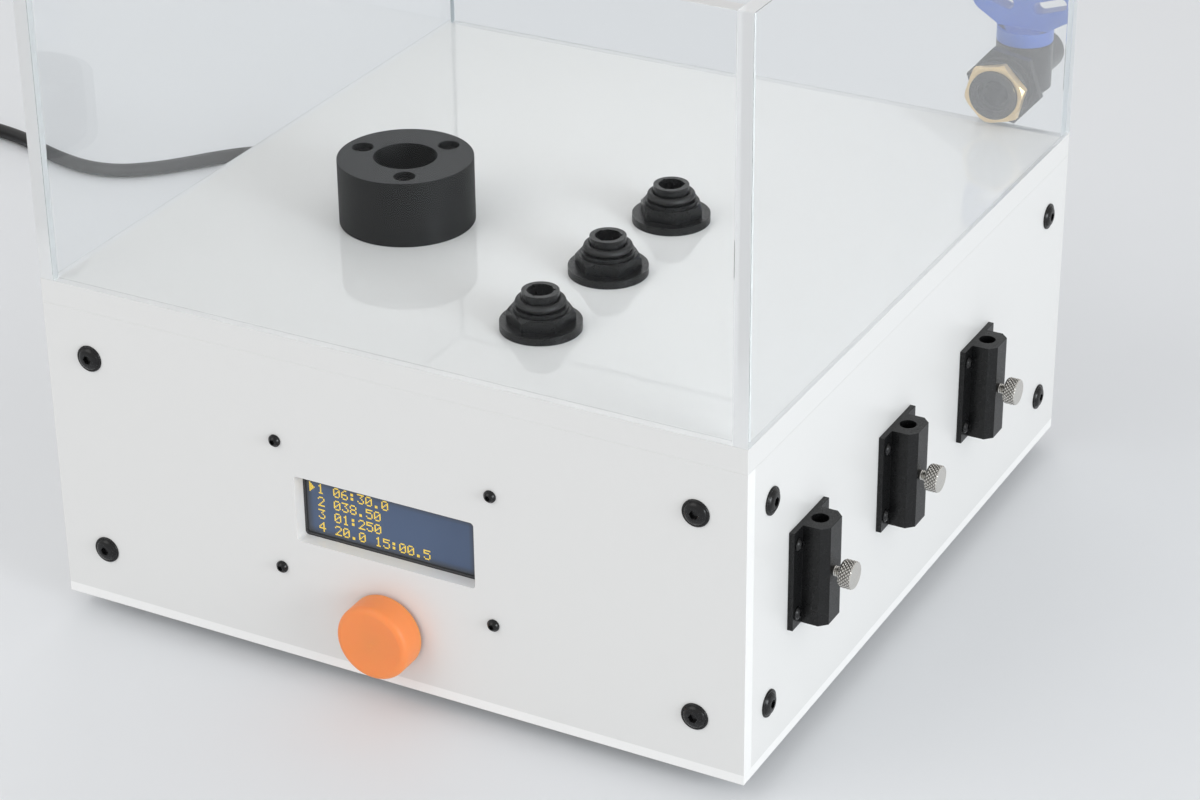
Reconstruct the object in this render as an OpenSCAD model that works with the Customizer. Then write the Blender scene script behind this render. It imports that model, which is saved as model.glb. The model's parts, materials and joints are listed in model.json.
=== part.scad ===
// Benchtop film processor: a white acrylic base that holds the pump, valves and controls, with an open
// tank of clear acrylic on top. Millimetres, +Z up, the front faces -Y.
// The modules work from the front left corner of the base's underside, and in_frame() sets them in the
// part's own frame: its origin is on the floor, under the middle of the object's outline.

/* [Base] */
// Width of the base, left to right
body_w = 300; // [250:1:380]
// Depth of the base, front to back
body_d = 308; // [256:1:380]
// Height of the four side panels
panel_h = 125; // [112:1:160]
// Thickness of the side panels
panel_t = 6; // [4:0.5:8]
// Thickness of the bottom plate
bottom_t = 4; // [3:0.5:6]
// Thickness of the deck plate
deck_t = 10; // [6:0.5:12]
// Width of the square corner posts
post_w = 24; // [22:1:30]
// Diameter of the rubber feet
foot_d = 20; // [14:1:30]
// Height of the rubber feet
foot_h = 8; // [6:0.5:12]
// Distance from the base's edges to the middle of a foot
foot_inset = 42; // [36:1:60]

/* [Fasteners] */
// Thread diameter of the panel screws
panel_screw_d = 5; // [4:0.5:6]
// Diameter of a panel screw's flanged head
panel_head_d = 10.9; // [9:0.1:14]
// Height of a panel screw's head
panel_head_h = 3; // [2:0.1:4]
// Distance from a panel's edges to its corner screws
panel_screw_inset = 20; // [18:0.5:24]
// Length of a panel screw's thread inside its post
panel_screw_grip = 8; // [6:0.5:10]
// Thread diameter of the screws under the base
base_screw_d = 4; // [3:0.5:5]
// Length of the screws under the base
base_screw_l = 12; // [10:0.5:16]

/* [Tank] */
// Height of the clear walls above the deck
tank_h = 160; // [110:1:220]
// Thickness of the clear walls
tank_t = 6; // [4:0.5:8]

/* [Column mount] */
// Middle of the column mount, from the left edge
mount_x = 97.5; // [60:0.5:130]
// Middle of the column mount, from the front edge
mount_y = 112.5; // [70:0.5:180]
// Diameter of the column mount
mount_d = 54; // [46:1:70]
// Height of the column mount
mount_h = 27; // [16:1:40]
// Diameter of its bore
mount_bore_d = 25; // [16:0.5:28]
// Diameter of the circle that its screws lie on
mount_pcd = 39; // [36:0.5:42]
// Thread diameter of its screws
mount_screw_d = 4; // [3:0.5:4]
// Diameter of the sunk holes for the screw heads
mount_sink_d = 8.4; // [7.5:0.1:9]
// Depth of the sunk holes
mount_sink_l = 6; // [5:0.5:10]

/* [Ports] */
// Middle of the row of ports, from the left edge
port_x = 191; // [180:0.5:200]
// Middle of the first port, from the front edge
port_y = 52.5; // [44:0.5:60]
// Distance between ports
port_pitch = 53; // [46:0.5:58]
// Bore of a port
port_bore_d = 10; // [6:0.5:10]
// Diameter of a port's flange
port_flange_d = 31; // [28:0.5:36]
// Size across the flats of a port's hexagon
port_hex_af = 22.5; // [20:0.5:24]
// Thread diameter where a port passes through the deck
port_thread_d = 18; // [16:0.5:19]
// Outside diameter of the hose spigots
spigot_d = 13; // [12:0.5:14]
// Wall of the hoses
hose_wall = 2; // [1.5:0.25:3]

/* [Display] */
// Height of the display's middle above the base's underside
display_z = 66.5; // [60:0.5:80]
// Width of the display window
window_w = 78; // [60:1:84]
// Height of the display window
window_h = 28; // [20:1:32]
// Corner radius of the display window
window_r = 1.5; // [0.5:0.25:3]
// Distance between the display's screws, across
display_hole_w = 93; // [90:0.5:100]
// Distance between the display's screws, up
display_hole_h = 55; // [50:0.5:60]
// Depth of the display's metal frame
display_frame_l = 8; // [6:0.5:12]

/* [Control knob] */
// Height of the knob's axis above the base's underside
knob_z = 24; // [22:0.5:28]
// Diameter of the knob
knob_d = 31; // [24:0.5:36]
// Length of the knob
knob_l = 11.5; // [9:0.5:16]
// Gap between the knob and the front panel
knob_gap = 1.5; // [1.2:0.1:3]
// Diameter of the encoder's shaft
shaft_d = 6; // [4:0.5:6]
// Travel of the knob when it is pushed
push_travel = 0.5; // [0.3:0.1:0.8]

/* [Tube clamps] */
// Middle of the first clamp, from the front edge
clamp_y = 50; // [46:0.5:60]
// Distance between clamps
clamp_pitch = 80; // [50:0.5:84]
// Height of the clamps' middle above the base's underside
clamp_z = 67.5; // [50:0.5:84]
// Height of a clamp
clamp_h = 41; // [34:0.5:50]
// Width of a clamp's flange
clamp_flange_w = 30; // [29:0.5:36]
// Thickness of a clamp's flange
clamp_flange_t = 2.2; // [1.5:0.1:3]
// Depth of a clamp's column, from the panel
clamp_depth = 12; // [11:0.5:16]
// Width of a clamp's column
clamp_column_w = 15.5; // [12:0.5:16]
// Bore for the tube
clamp_bore_d = 6.6; // [4:0.1:7]
// Distance from the panel to the tube's axis
clamp_bore_x = 5.5; // [5:0.1:6]
// Thread diameter of the thumb screws
thumb_d = 4; // [4:0.5:5]
// Diameter of a thumb screw's head
thumb_head_d = 11; // [9:0.5:14]
// Length of a thumb screw's head
thumb_head_l = 6; // [4:0.5:10]
// Gap between a thumb screw's head and its clamp
thumb_gap = 2; // [1.8:0.1:4]

/* [Drain tap] */
// Distance from the base's right edge to the tap's axis
tap_from_right = 34.5; // [24:0.5:50]
// Height of the tap's axis above the deck
tap_rise = 15.5; // [15:0.5:40]
// Thread diameter of the tap
tap_thread_d = 21; // [18:0.5:21]
// Size across the flats of the tap's nut
tap_nut_af = 24; // [23.5:0.5:25]
// Waterway through the tap
tap_way_d = 11; // [8:0.5:11]
// Diameter of the tap's upright body
tap_body_d = 24; // [22:0.5:28]
// Distance from the tank's outer face to the plug's axis
tap_axis_l = 24.5; // [24.5:0.5:36]
// Diameter of the turning plug
tap_plug_d = 15; // [14:0.5:17]
// Span of the tap's handle
tap_handle_w = 47; // [36:0.5:47]
// Length of the outlet past the upright body
tap_outlet_l = 12.5; // [8:0.5:24]

/* [Mains] */
// Middle of the mains inlet, from the left edge
inlet_x = 68.5; // [58:0.5:100]
// Height of the mains inlet above the base's underside
inlet_z = 36; // [24:0.5:80]
// Diameter of the mains lead
cord_d = 7; // [6:0.5:7]

/* [Inside] */
// Length of the spigots on the valve block and the pump
spigot_l = 18; // [12:1:24]
// Diameter of the pump's housing
pump_d = 50; // [44:1:54]
// Diameter of the pump's chamber
pump_chamber_d = 42; // [36:1:42]
// Diameter of the pump's shaft
pump_shaft_d = 5; // [4:0.5:6]
// Length of the pump's motor
motor_l = 55; // [40:1:60]
// Width of the power supply
supply_w = 80; // [60:1:84]
// Depth of the power supply
supply_d = 98; // [80:1:100]
// Height of the power supply
supply_h = 36; // [28:1:45]
// Width of the controller board
board_w = 90; // [70:1:96]
// Depth of the controller board
board_d = 60; // [50:1:64]

/* [Fits] */
// Radial gap of a turning or sliding shaft, and of a screw in its thread
run_gap = 0.05; // [0.02:0.01:0.1]
// Gap around a piece that drops into a cut-out
slip_gap = 0.2; // [0.1:0.05:0.4]
// Gap between faces that move past each other
move_gap = 0.4; // [0.3:0.05:0.6]

/* [Hidden] */
$fn = 48;
// A cut runs this far past the faces that it opens
cut = 1;
arc_steps = 12;

// Heights
panel_top = bottom_t + panel_h;
deck_top = panel_top + deck_t;
screw_zs = [bottom_t + panel_screw_inset, panel_top - panel_screw_inset];
screw_xs = [panel_screw_inset, body_w - panel_screw_inset];
screw_ys = [panel_screw_inset, body_d - panel_screw_inset];
post_xs = [panel_t, body_w - panel_t - post_w];
post_ys = [panel_t, body_d - panel_t - post_w];
foot_xs = [foot_inset, body_w - foot_inset];
foot_ys = [foot_inset, body_d - foot_inset];

// Screw heads
base_head_d = 1.9 * base_screw_d;
base_head_h = 0.55 * base_screw_d;
foot_sink_l = base_head_h + 1;
small_screw_d = 3;
small_head_d = 5.4;
small_head_h = 1.7;
panel_head_flange = 1.2;
screw_tip_gap = 0.5;
display_head_d = 5;
display_head_h = 2.3;
clamp_screw_dy = clamp_column_w / 4 + clamp_flange_w / 4;
clamp_screw_dz = clamp_h / 2 - 6;
mount_head_d = mount_sink_d - 1.4;
mount_head_h = mount_screw_d;

// Ports
port_ys = [for (i = [0:2]) port_y + i * port_pitch];
port_flange_t = 3.2;
port_hex_t = 5;
port_hex_turns = [24, 16, 5];
port_step_d = 20.6;
port_step_t = 1.4;
port_ring_d = 19;
port_ring_t = 3;
port_neck_d = port_ring_d - 2 * port_ring_t;
port_lip_d = 14.2;
port_lip_t = 2.5;
port_notch_w = 1;
port_notch_l = 1.2;
port_notch_r = port_bore_d / 2 + 0.5;
port_ring_z = port_flange_t + port_hex_t + port_step_t;
port_lip_z = port_ring_z + port_ring_t + 0.4;
port_top_z = port_lip_z + port_lip_t;
port_thread_l = deck_t + 14;
port_spigot_end = port_thread_l + 16;
backnut_af = port_thread_d + 6;
backnut_t = 6;

// Display, from the back of the front panel
display_x = body_w / 2;
display_gap = 0.3;
display_frame_w = 97;
display_frame_h = 40;
display_view_w = 77;
display_view_h = 26.5;
display_front_t = 0.8;
display_rim = 1.6;
display_glass_gap = 0.4;
display_glass_t = 5;
display_board_t = 1.6;
display_board_w = display_hole_w + 5;
display_board_h = display_hole_h + 5;
display_board_y = panel_t + display_gap + display_frame_l;
display_nut_t = 2.4;
display_nut_af = 5.5;
display_spacer_d = 5.8;

// Encoder, its axis at the knob's
knob_x = body_w / 2;
knob_round = 2.6;
knob_dish = 0.6;
knob_hollow_d = 20;
knob_hollow_l = 4;
knob_wall = 2;
bushing_d = shaft_d + 1.5;
encoder_w = 14;
encoder_h = 12;
encoder_l = 8;
encoder_nut_t = 2;
encoder_nut_af = bushing_d + 3;
bushing_l = encoder_nut_t + 0.6;
plunger_d = 8.4;
plunger_t = 1.4;
plunger_y = panel_t + 3;
plunger_pin_d = 2;
plunger_pin_l = 2;
shaft_end_gap = 0.1;

// Tube clamps
clamp_ys = [for (i = [0:2]) clamp_y + i * clamp_pitch];
clamp_chamfer = 3;
pad_clear = 0.2;
pad_x = clamp_bore_x + clamp_bore_d / 2 + pad_clear;
pad_tip_d = thumb_d - 0.8;
pad_tip_t = 0.8;
pad_stem_d = 2;
pad_stem_l = 2.5;
pad_face_gap = 0.1;
thumb_edge = 0.5;

// Drain tap, along the line y from the tank's outer face
tap_x = body_w - tap_from_right;
tap_z = deck_top + tap_rise;
tap_seal_t = 1.5;
tap_seal_d = tap_nut_af + 2;
tap_nut_t = 4;
tap_nut_turn = 45;
tap_nut_face = 0.5;
tap_thread_proud = 1;
tap_inner_l = tank_t + tap_seal_t + tap_nut_t + tap_thread_proud;
tap_flange_af = tap_thread_d + 8;
tap_flange_t = 4;
tap_flange_turn = 10;
tap_neck_d = tap_thread_d - 3;
tap_body_low = -10;
tap_body_edge = 3;
tap_body_high = 13;
tap_recess_d = tap_thread_d - 6;
tap_recess_l = 3;
tap_tip_l = 2.4;
tap_collar_l = 6;
tap_handle_t = 8;
tap_handle_h = 29;
tap_foot_gap = 0.3;
tap_wing_r = 8.5;
tap_wing_z = 12.5;
tap_slot_w = 5;
tap_slot_in = [6.8, 9.8];
tap_slot_out = [16.5, 13];

// Mains inlet, out of the rear panel
inlet_w = 50;
inlet_h = 30;
inlet_lip_t = 3;
inlet_edge = 2;
inlet_l = 30;
socket_dx = -10;
socket_w = 25;
socket_h = 17;
socket_l = 19;
socket_corner = 2.5;
pin_w = 2;
pin_h = 4.4;
pin_l = 12;
pin_dx = 7;
pin_drop = 2;
plug_gap = 0.4;
rocker_dx = 13.5;
rocker_w = 12;
rocker_h = 18;
rocker_tilt = 10;
rocker_pin_d = 3;
rocker_pin_l = 2;
rocker_back = 5;
rocker_rise = 1;
rocker_dip = 0.5;
rocker_depth = 14;
grip_w = 28;
grip_h = 20;
grip_l = 27;
grip_corner = 5;
relief_l = 30;
relief_d = 12.5;
relief_end_d = 8.6;

// Inside
pump_z = bottom_t + 27;
block_w = 30;
block_front = port_ys[0] - 15;
block_back = port_ys[2] - 14;
block_h = 45;
cover_w = 54;
cover_t = 6;
coil_can_d = 24;
coil_can_l = 26;
pump_l = 28;
pump_chamber_l = 20;
pump_bearing_l = 14;
motor_d = 40;
pump_foot_w = 40;
rotor_d = pump_chamber_d - 4;
rotor_disc_t = 3;
rotor_blade_t = 2;
rotor_rim = 1;
rotor_blade_l = 8;
rotor_end_gap = 2;
hose_d = spigot_d + 2 * hose_wall;
hose_end_gap = 2;
supply_x = 24;
supply_y = body_d - panel_t - inlet_l - 21 - supply_d;
board_x = 20;
board_y = 36;
board_t = 1.6;
board_spacer_l = 8;
board_spacer_d = 7;
board_hole_inset = 6;
chip_h = 9;

// The outline's reach past the base on each side sets the frame's origin
left_reach = panel_head_h;
right_reach = clamp_depth + thumb_gap + thumb_head_l;
front_reach = knob_gap + knob_l;
rear_reach = tap_axis_l + tap_body_d / 2 + tap_outlet_l;
origin_x = -(body_w + right_reach - left_reach) / 2;
origin_y = -(body_d + rear_reach - front_reach) / 2;

// Mains lead, in the part's own frame: from the connector, along the floor and into the coil
cord_points = [
    [-100, 196, 44], [-100, 210, 44], [-101, 224, 42], [-105, 237, 37.5], [-113, 248, 31],
    [-125, 257, 23.5], [-140, 263, 16], [-157, 266, 9.5], [-175, 267, 5], [-194, 267, 3.6],
    [-214, 266, 3.6], [-234, 264, 3.6], [-254, 262, 3.6], [-274, 260, 3.6], [-294, 257, 3.6],
    [-314, 253, 3.6], [-332, 246, 3.6], [-347, 236, 3.6], [-359, 223, 3.6], [-369, 210, 3.6],
    [-380, 198, 3.6], [-394, 188, 3.6], [-411, 184.5, 3.6], [-429, 187, 3.6], [-446, 192, 3.6],
    [-463, 197, 3.7], [-480, 199.5, 3.9], [-498, 200, 4.3], [-512, 200, 4.6], [-525, 200, 4.6]
];
cord_sides = 10;
// The coil winds in on the floor, climbs one layer and winds out again
coil_x = -532;
coil_y = 152;
coil_low_z = 4.6;
coil_r = 28;
coil_pitch = 7.62;
coil_step = 7.6;
coil_turns = 5.25;
coil_rings = 24;
coil_sides = 6;
coil_half = coil_turns / 2;
coil_outer_r = coil_r + coil_pitch * coil_half;
coil_climb = 0.5;
tail_points = [
    [-580, 145, 12.2], [-580, 137, 13], [-580, 128, 15], [-580, 119, 17.4], [-580, 110, 18.6],
    [-580, 102, 18.6]
];
tie_t = 0.8;
tie_gap = 0.3;
tie_slack = 1.2;
tie_l = 16;
tie_corner = 3;

// Mains plug, at the end of the lead
mains_plug_d = 37;
mains_plug_face_l = 14;
mains_plug_body_l = 26;
mains_plug_neck_d = 24;
mains_plug_relief_l = 22;
mains_plug_relief_d = 12;
mains_plug_step = 3;
mains_plug_pin_d = 4.8;
mains_plug_pin_l = 19;
mains_plug_pin_dx = 9.5;

// Points and sweeps
function unit(v) = v / norm(v);
function heading(path, i) = unit(path[min(i + 1, len(path) - 1)] - path[max(i - 1, 0)]);
function ring(p, along, r, sides) =
    let (across = unit(cross(along, [0, 0, 1])), upward = cross(across, along))
    [for (k = [0:sides - 1]) p + r * (cos(360 * k / sides) * across + sin(360 * k / sides) * upward)];
function arc(middle, r, from, to) = [
    for (k = [0:arc_steps])
        let (a = from + (to - from) * k / arc_steps)
        middle + r * [cos(a), sin(a)]
];
function path_length(path, i = 1) =
    i >= len(path) ? 0 : norm(path[i] - path[i - 1]) + path_length(path, i + 1);

function coil_radius(turn) = coil_r + coil_pitch * abs(turn - coil_half);
function coil_height(turn) =
    coil_low_z + coil_step * min(1, max(0, (turn - coil_half) / coil_climb + 0.5));
function coil_point(turn) = [
    coil_x + coil_radius(turn) * cos(90 + 360 * turn),
    coil_y + coil_radius(turn) * sin(90 + 360 * turn),
    coil_height(turn)
];
coil_points = [for (i = [0:coil_turns * coil_rings]) coil_point(i / coil_rings)];
coil_start = [[coil_x + cord_d, coil_y + coil_outer_r, coil_low_z]];
coil_path = concat(coil_start, coil_points, tail_points);
// Least distance between points of the coil that lie half a turn or more apart, less the lead's thickness
coil_self_gap = min([
    for (i = [0:len(coil_points) - 1])
        for (j = [i + coil_rings / 2:1:len(coil_points) - 1]) norm(coil_points[i] - coil_points[j])
]) - cord_d;
echo(coil_self_gap = coil_self_gap);
echo(cord_length = path_length(cord_points) + path_length(coil_path));

module in_frame() {
    translate([origin_x, origin_y, foot_h]) children();
}

// A round tube swept along a path, as one closed mesh of triangles
module swept_tube(path, d, sides) {
    count = len(path);
    points = [for (i = [0:count - 1]) each ring(path[i], heading(path, i), d / 2, sides)];
    walls = [
        for (i = [0:count - 2])
            for (k = [0:sides - 1])
                let (a = i * sides + k, b = i * sides + (k + 1) % sides)
                each [[a, b, b + sides], [a, b + sides, a + sides]]
    ];
    last = (count - 1) * sides;
    first_cap = [for (k = [1:sides - 2]) [0, k + 1, k]];
    last_cap = [for (k = [1:sides - 2]) [last, last + k, last + k + 1]];
    polyhedron(points, concat(walls, first_cap, last_cap));
}

// A rectangle with round corners, centred
module rounded(w, h, r) {
    square([w - 2 * r, h], center = true);
    square([w, h - 2 * r], center = true);
    for (x = [-1, 1], y = [-1, 1]) {
        translate([x * (w / 2 - r), y * (h / 2 - r)]) circle(r);
    }
}

module hex_prism(af, h) {
    cylinder(d = af / cos(30), h = h, $fn = 6);
}

// Turn a shape that points up so that it points out of a side of the base
module out_of_front() { rotate([90, 0, 0]) children(); }
module out_of_rear() { rotate([-90, 0, 0]) children(); }
module out_of_left() { rotate([0, -90, 0]) children(); }
module out_of_right() { rotate([0, 90, 0]) children(); }

// A button head screw that points up: its head starts at z = 0 and its shank goes down
module button_screw(d, head_d, head_h, l, flange = 0.2) {
    rim = 0.3 * head_h;
    dome_r = head_d / 2 - flange;
    rise = head_h - rim;
    ball_r = (dome_r ^ 2 + rise ^ 2) / (2 * rise);
    difference() {
        union() {
            translate([0, 0, -l]) cylinder(d = d, h = l + rim);
            cylinder(d = head_d, h = rim);
            intersection() {
                translate([0, 0, head_h - ball_r]) sphere(ball_r);
                cylinder(r = dome_r, h = head_h);
            }
        }
        translate([0, 0, 0.4 * head_h]) hex_prism(0.6 * d, head_h);
    }
}

// Base

module bottom_plate() {
    color("whitesmoke")
    difference() {
        cube([body_w, body_d, bottom_t]);
        for (x = foot_xs, y = foot_ys) {
            translate([x, y, -cut]) cylinder(d = base_screw_d + 2 * run_gap, h = bottom_t + 2 * cut);
        }
        for (x = post_xs, y = post_ys) {
            translate([x + post_w / 2, y + post_w / 2, -cut])
                cylinder(d = base_screw_d + 2 * run_gap, h = bottom_t + 2 * cut);
        }
    }
}

module rubber_feet() {
    color("black")
    for (x = foot_xs, y = foot_ys) {
        translate([x, y, -foot_h])
        difference() {
            cylinder(d1 = foot_d - 2, d2 = foot_d, h = foot_h);
            translate([0, 0, -cut]) cylinder(d = base_screw_d + 2 * run_gap, h = foot_h + 2 * cut);
            translate([0, 0, -cut]) cylinder(d = base_head_d + 1, h = foot_sink_l + cut);
        }
    }
}

module base_screws() {
    color("black") {
        for (x = foot_xs, y = foot_ys) {
            translate([x, y, foot_sink_l - foot_h]) rotate([180, 0, 0])
                button_screw(base_screw_d, base_head_d, base_head_h, base_screw_l);
        }
        for (x = post_xs, y = post_ys) {
            translate([x + post_w / 2, y + post_w / 2, 0]) rotate([180, 0, 0])
                button_screw(base_screw_d, base_head_d, base_head_h, base_screw_l);
        }
    }
}

// The corner posts carry the panels' screws, and stand between the bottom plate and the deck
module corner_posts() {
    deep = panel_t + panel_screw_grip + cut;
    hole = panel_screw_d + 2 * run_gap;
    color("gainsboro")
    difference() {
        for (x = post_xs, y = post_ys) {
            translate([x, y, bottom_t]) cube([post_w, post_w, panel_h]);
        }
        for (x = screw_xs, z = screw_zs) {
            translate([x, deep, z]) out_of_front() cylinder(d = hole, h = deep);
            translate([x, body_d - deep, z]) out_of_rear() cylinder(d = hole, h = deep);
        }
        for (y = screw_ys, z = screw_zs) {
            translate([deep, y, z]) out_of_left() cylinder(d = hole, h = deep);
            translate([body_w - deep, y, z]) out_of_right() cylinder(d = hole, h = deep);
        }
        for (x = post_xs, y = post_ys) {
            translate([x + post_w / 2, y + post_w / 2, bottom_t - cut])
                cylinder(d = base_screw_d + 2 * run_gap, h = base_screw_l + cut);
        }
    }
}

module front_panel() {
    color("white")
    difference() {
        translate([0, 0, bottom_t]) cube([body_w, panel_t, panel_h]);
        for (x = screw_xs, z = screw_zs) {
            front_hole(x, z, panel_screw_d + 2 * slip_gap);
        }
        for (x = display_hole_xs(), z = display_hole_zs()) {
            front_hole(x, z, small_screw_d + 2 * slip_gap);
        }
        front_hole(knob_x, knob_z, bushing_d + 2 * slip_gap);
        translate([display_x, panel_t + cut, display_z]) out_of_front()
            linear_extrude(panel_t + 2 * cut) rounded(window_w, window_h, window_r);
    }
}

module front_hole(x, z, d) {
    translate([x, panel_t + cut, z]) out_of_front() cylinder(d = d, h = panel_t + 2 * cut);
}

module rear_panel() {
    color("white")
    difference() {
        translate([0, body_d - panel_t, bottom_t]) cube([body_w, panel_t, panel_h]);
        for (x = screw_xs, z = screw_zs) {
            translate([x, body_d - panel_t - cut, z]) out_of_rear()
                cylinder(d = panel_screw_d + 2 * slip_gap, h = panel_t + 2 * cut);
        }
        translate([inlet_x, body_d - panel_t - cut, inlet_z]) out_of_rear()
            linear_extrude(panel_t + 2 * cut)
                square([inlet_w - 2 * inlet_edge + 2 * slip_gap, inlet_h - 2 * inlet_edge + 2 * slip_gap],
                       center = true);
    }
}

module left_panel() {
    color("white")
    difference() {
        side_sheet(0);
        for (y = screw_ys, z = screw_zs) {
            translate([-cut, y, z]) out_of_right()
                cylinder(d = panel_screw_d + 2 * slip_gap, h = panel_t + 2 * cut);
        }
    }
}

module right_panel() {
    color("white")
    difference() {
        side_sheet(body_w - panel_t);
        for (y = screw_ys, z = screw_zs) {
            translate([body_w - panel_t - cut, y, z]) out_of_right()
                cylinder(d = panel_screw_d + 2 * slip_gap, h = panel_t + 2 * cut);
        }
        for (y = clamp_ys, dy = [-1, 1], dz = [-1, 1]) {
            translate([body_w - panel_t - cut, y + dy * clamp_screw_dy, clamp_z + dz * clamp_screw_dz])
                out_of_right() cylinder(d = small_screw_d + 2 * run_gap, h = panel_t + 2 * cut);
        }
    }
}

// The side panels fit between the front and rear panels
module side_sheet(x) {
    translate([x, panel_t, bottom_t]) cube([panel_t, body_d - 2 * panel_t, panel_h]);
}

module panel_screws() {
    color("black") {
        for (x = screw_xs, z = screw_zs) {
            translate([x, 0, z]) out_of_front() panel_screw();
            translate([x, body_d, z]) out_of_rear() panel_screw();
        }
        for (y = screw_ys, z = screw_zs) {
            translate([0, y, z]) out_of_left() panel_screw();
            translate([body_w, y, z]) out_of_right() panel_screw();
        }
    }
}

module panel_screw() {
    button_screw(panel_screw_d, panel_head_d, panel_head_h, panel_t + panel_screw_grip,
                 flange = panel_head_flange);
}

// Deck and tank

module deck_plate() {
    color("white")
    difference() {
        translate([0, 0, panel_top]) cube([body_w, body_d, deck_t]);
        for (y = port_ys) {
            translate([port_x, y, panel_top - cut])
                cylinder(d = port_thread_d + 2 * slip_gap, h = deck_t + 2 * cut);
        }
        mount_holes(panel_top - cut, deck_t + 2 * cut, mount_screw_d + 2 * run_gap);
    }
}

// The tank's side walls run the whole depth, and its front and rear walls fit between them
module tank_front_wall() {
    color("lightcyan", 0.3)
    translate([tank_t, 0, deck_top]) cube([body_w - 2 * tank_t, tank_t, tank_h]);
}

module tank_rear_wall() {
    color("lightcyan", 0.3)
    difference() {
        translate([tank_t, body_d - tank_t, deck_top]) cube([body_w - 2 * tank_t, tank_t, tank_h]);
        translate([tap_x, body_d - tank_t - cut, tap_z]) out_of_rear()
            cylinder(d = tap_thread_d + 2 * slip_gap, h = tank_t + 2 * cut);
    }
}

module tank_left_wall() {
    color("lightcyan", 0.3)
    translate([0, 0, deck_top]) cube([tank_t, body_d, tank_h]);
}

module tank_right_wall() {
    color("lightcyan", 0.3)
    translate([body_w - tank_t, 0, deck_top]) cube([tank_t, body_d, tank_h]);
}

// Column mount

module mount_holes(z, h, d) {
    for (a = [60, 180, 300]) {
        translate([mount_x, mount_y, z]) rotate(a) translate([mount_pcd / 2, 0, 0]) cylinder(d = d, h = h);
    }
}

module column_mount() {
    color("dimgray")
    difference() {
        translate([mount_x, mount_y, deck_top]) cylinder(d = mount_d, h = mount_h, $fn = 96);
        translate([mount_x, mount_y, deck_top - cut]) cylinder(d = mount_bore_d, h = mount_h + 2 * cut);
        mount_holes(deck_top - cut, mount_h + 2 * cut, mount_screw_d + 2 * slip_gap);
        mount_holes(deck_top + mount_h - mount_sink_l, mount_sink_l + cut, mount_sink_d);
    }
}

module column_mount_screws() {
    shank_l = mount_h - mount_sink_l + deck_t;
    seat_z = deck_top + mount_h - mount_sink_l;
    color("black")
    difference() {
        union() {
            mount_holes(seat_z - shank_l, shank_l + cut, mount_screw_d);
            mount_holes(seat_z, mount_head_h, mount_head_d);
        }
        for (a = [60, 180, 300]) {
            translate([mount_x, mount_y, seat_z + mount_head_h / 2])
                rotate(a) translate([mount_pcd / 2, 0, 0]) hex_prism(0.75 * mount_screw_d, mount_head_h);
        }
    }
}

// Ports through the deck

module port_fitting(i) {
    color("black")
    translate([port_x, port_ys[i], deck_top])
    difference() {
        union() {
            cylinder(d = port_flange_d, h = port_flange_t);
            translate([0, 0, port_flange_t])
            intersection() {
                rotate(port_hex_turns[i]) hex_prism(port_hex_af, port_hex_t);
                cylinder(d1 = port_hex_af + 2 * port_hex_t, d2 = port_hex_af, h = port_hex_t);
            }
            cylinder(d = port_step_d, h = port_ring_z);
            cylinder(d = port_neck_d, h = port_top_z);
            translate([0, 0, port_lip_z]) cylinder(d = port_lip_d, h = port_lip_t);
            translate([0, 0, -port_thread_l]) cylinder(d = port_thread_d, h = port_thread_l + cut);
            translate([0, 0, -port_spigot_end]) cylinder(d = spigot_d, h = port_spigot_end);
        }
        translate([0, 0, -port_spigot_end - cut])
            cylinder(d = port_bore_d, h = port_spigot_end + port_top_z + 2 * cut);
        for (a = [30:120:270]) {
            rotate(a) translate([0, -port_notch_w / 2, port_top_z - port_notch_l])
                cube([port_notch_r, port_notch_w, port_notch_l + cut]);
        }
    }
}

module port_o_rings() {
    color("black")
    for (y = port_ys) {
        translate([port_x, y, deck_top + port_ring_z + port_ring_t / 2])
        rotate_extrude()
            translate([(port_ring_d - port_ring_t) / 2 + run_gap, 0]) circle(d = port_ring_t - run_gap);
    }
}

module port_backnuts() {
    color("black")
    for (y = port_ys) {
        translate([port_x, y, panel_top - backnut_t])
        difference() {
            hex_prism(backnut_af, backnut_t);
            translate([0, 0, -cut]) cylinder(d = port_thread_d + 2 * run_gap, h = backnut_t + 2 * cut);
        }
    }
}

// Display

function display_hole_xs() = [display_x - display_hole_w / 2, display_x + display_hole_w / 2];
function display_hole_zs() = [display_z - display_hole_h / 2, display_z + display_hole_h / 2];

// A sheet that faces the front, its front face at y
module display_sheet(y, w, h, t) {
    translate([display_x, y + t, display_z]) out_of_front()
        linear_extrude(t) square([w, h], center = true);
}

module display_board() {
    color("seagreen")
    difference() {
        display_sheet(display_board_y, display_board_w, display_board_h, display_board_t);
        for (x = display_hole_xs(), z = display_hole_zs()) {
            translate([x, display_board_y + display_board_t + cut, z]) out_of_front()
                cylinder(d = small_screw_d + 2 * slip_gap, h = display_board_t + 2 * cut);
        }
    }
}

module display_frame() {
    inner_w = display_frame_w - 2 * display_rim;
    inner_h = display_frame_h - 2 * display_rim;
    front_y = panel_t + display_gap;
    color("black")
    difference() {
        display_sheet(front_y, display_frame_w, display_frame_h, display_frame_l);
        display_sheet(front_y - cut, display_view_w, display_view_h, display_frame_l);
        display_sheet(front_y + display_front_t, inner_w, inner_h, display_frame_l);
    }
}

module display_glass() {
    edge = display_rim + display_glass_gap;
    color("steelblue")
    display_sheet(panel_t + display_gap + display_front_t, display_frame_w - 2 * edge,
                  display_frame_h - 2 * edge, display_glass_t);
}

module display_screws() {
    shank_l = display_board_y + display_board_t + display_nut_t + cut;
    color("black")
    for (x = display_hole_xs(), z = display_hole_zs()) {
        translate([x, 0, z]) out_of_front()
            button_screw(small_screw_d, display_head_d, display_head_h, shank_l);
    }
}

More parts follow.
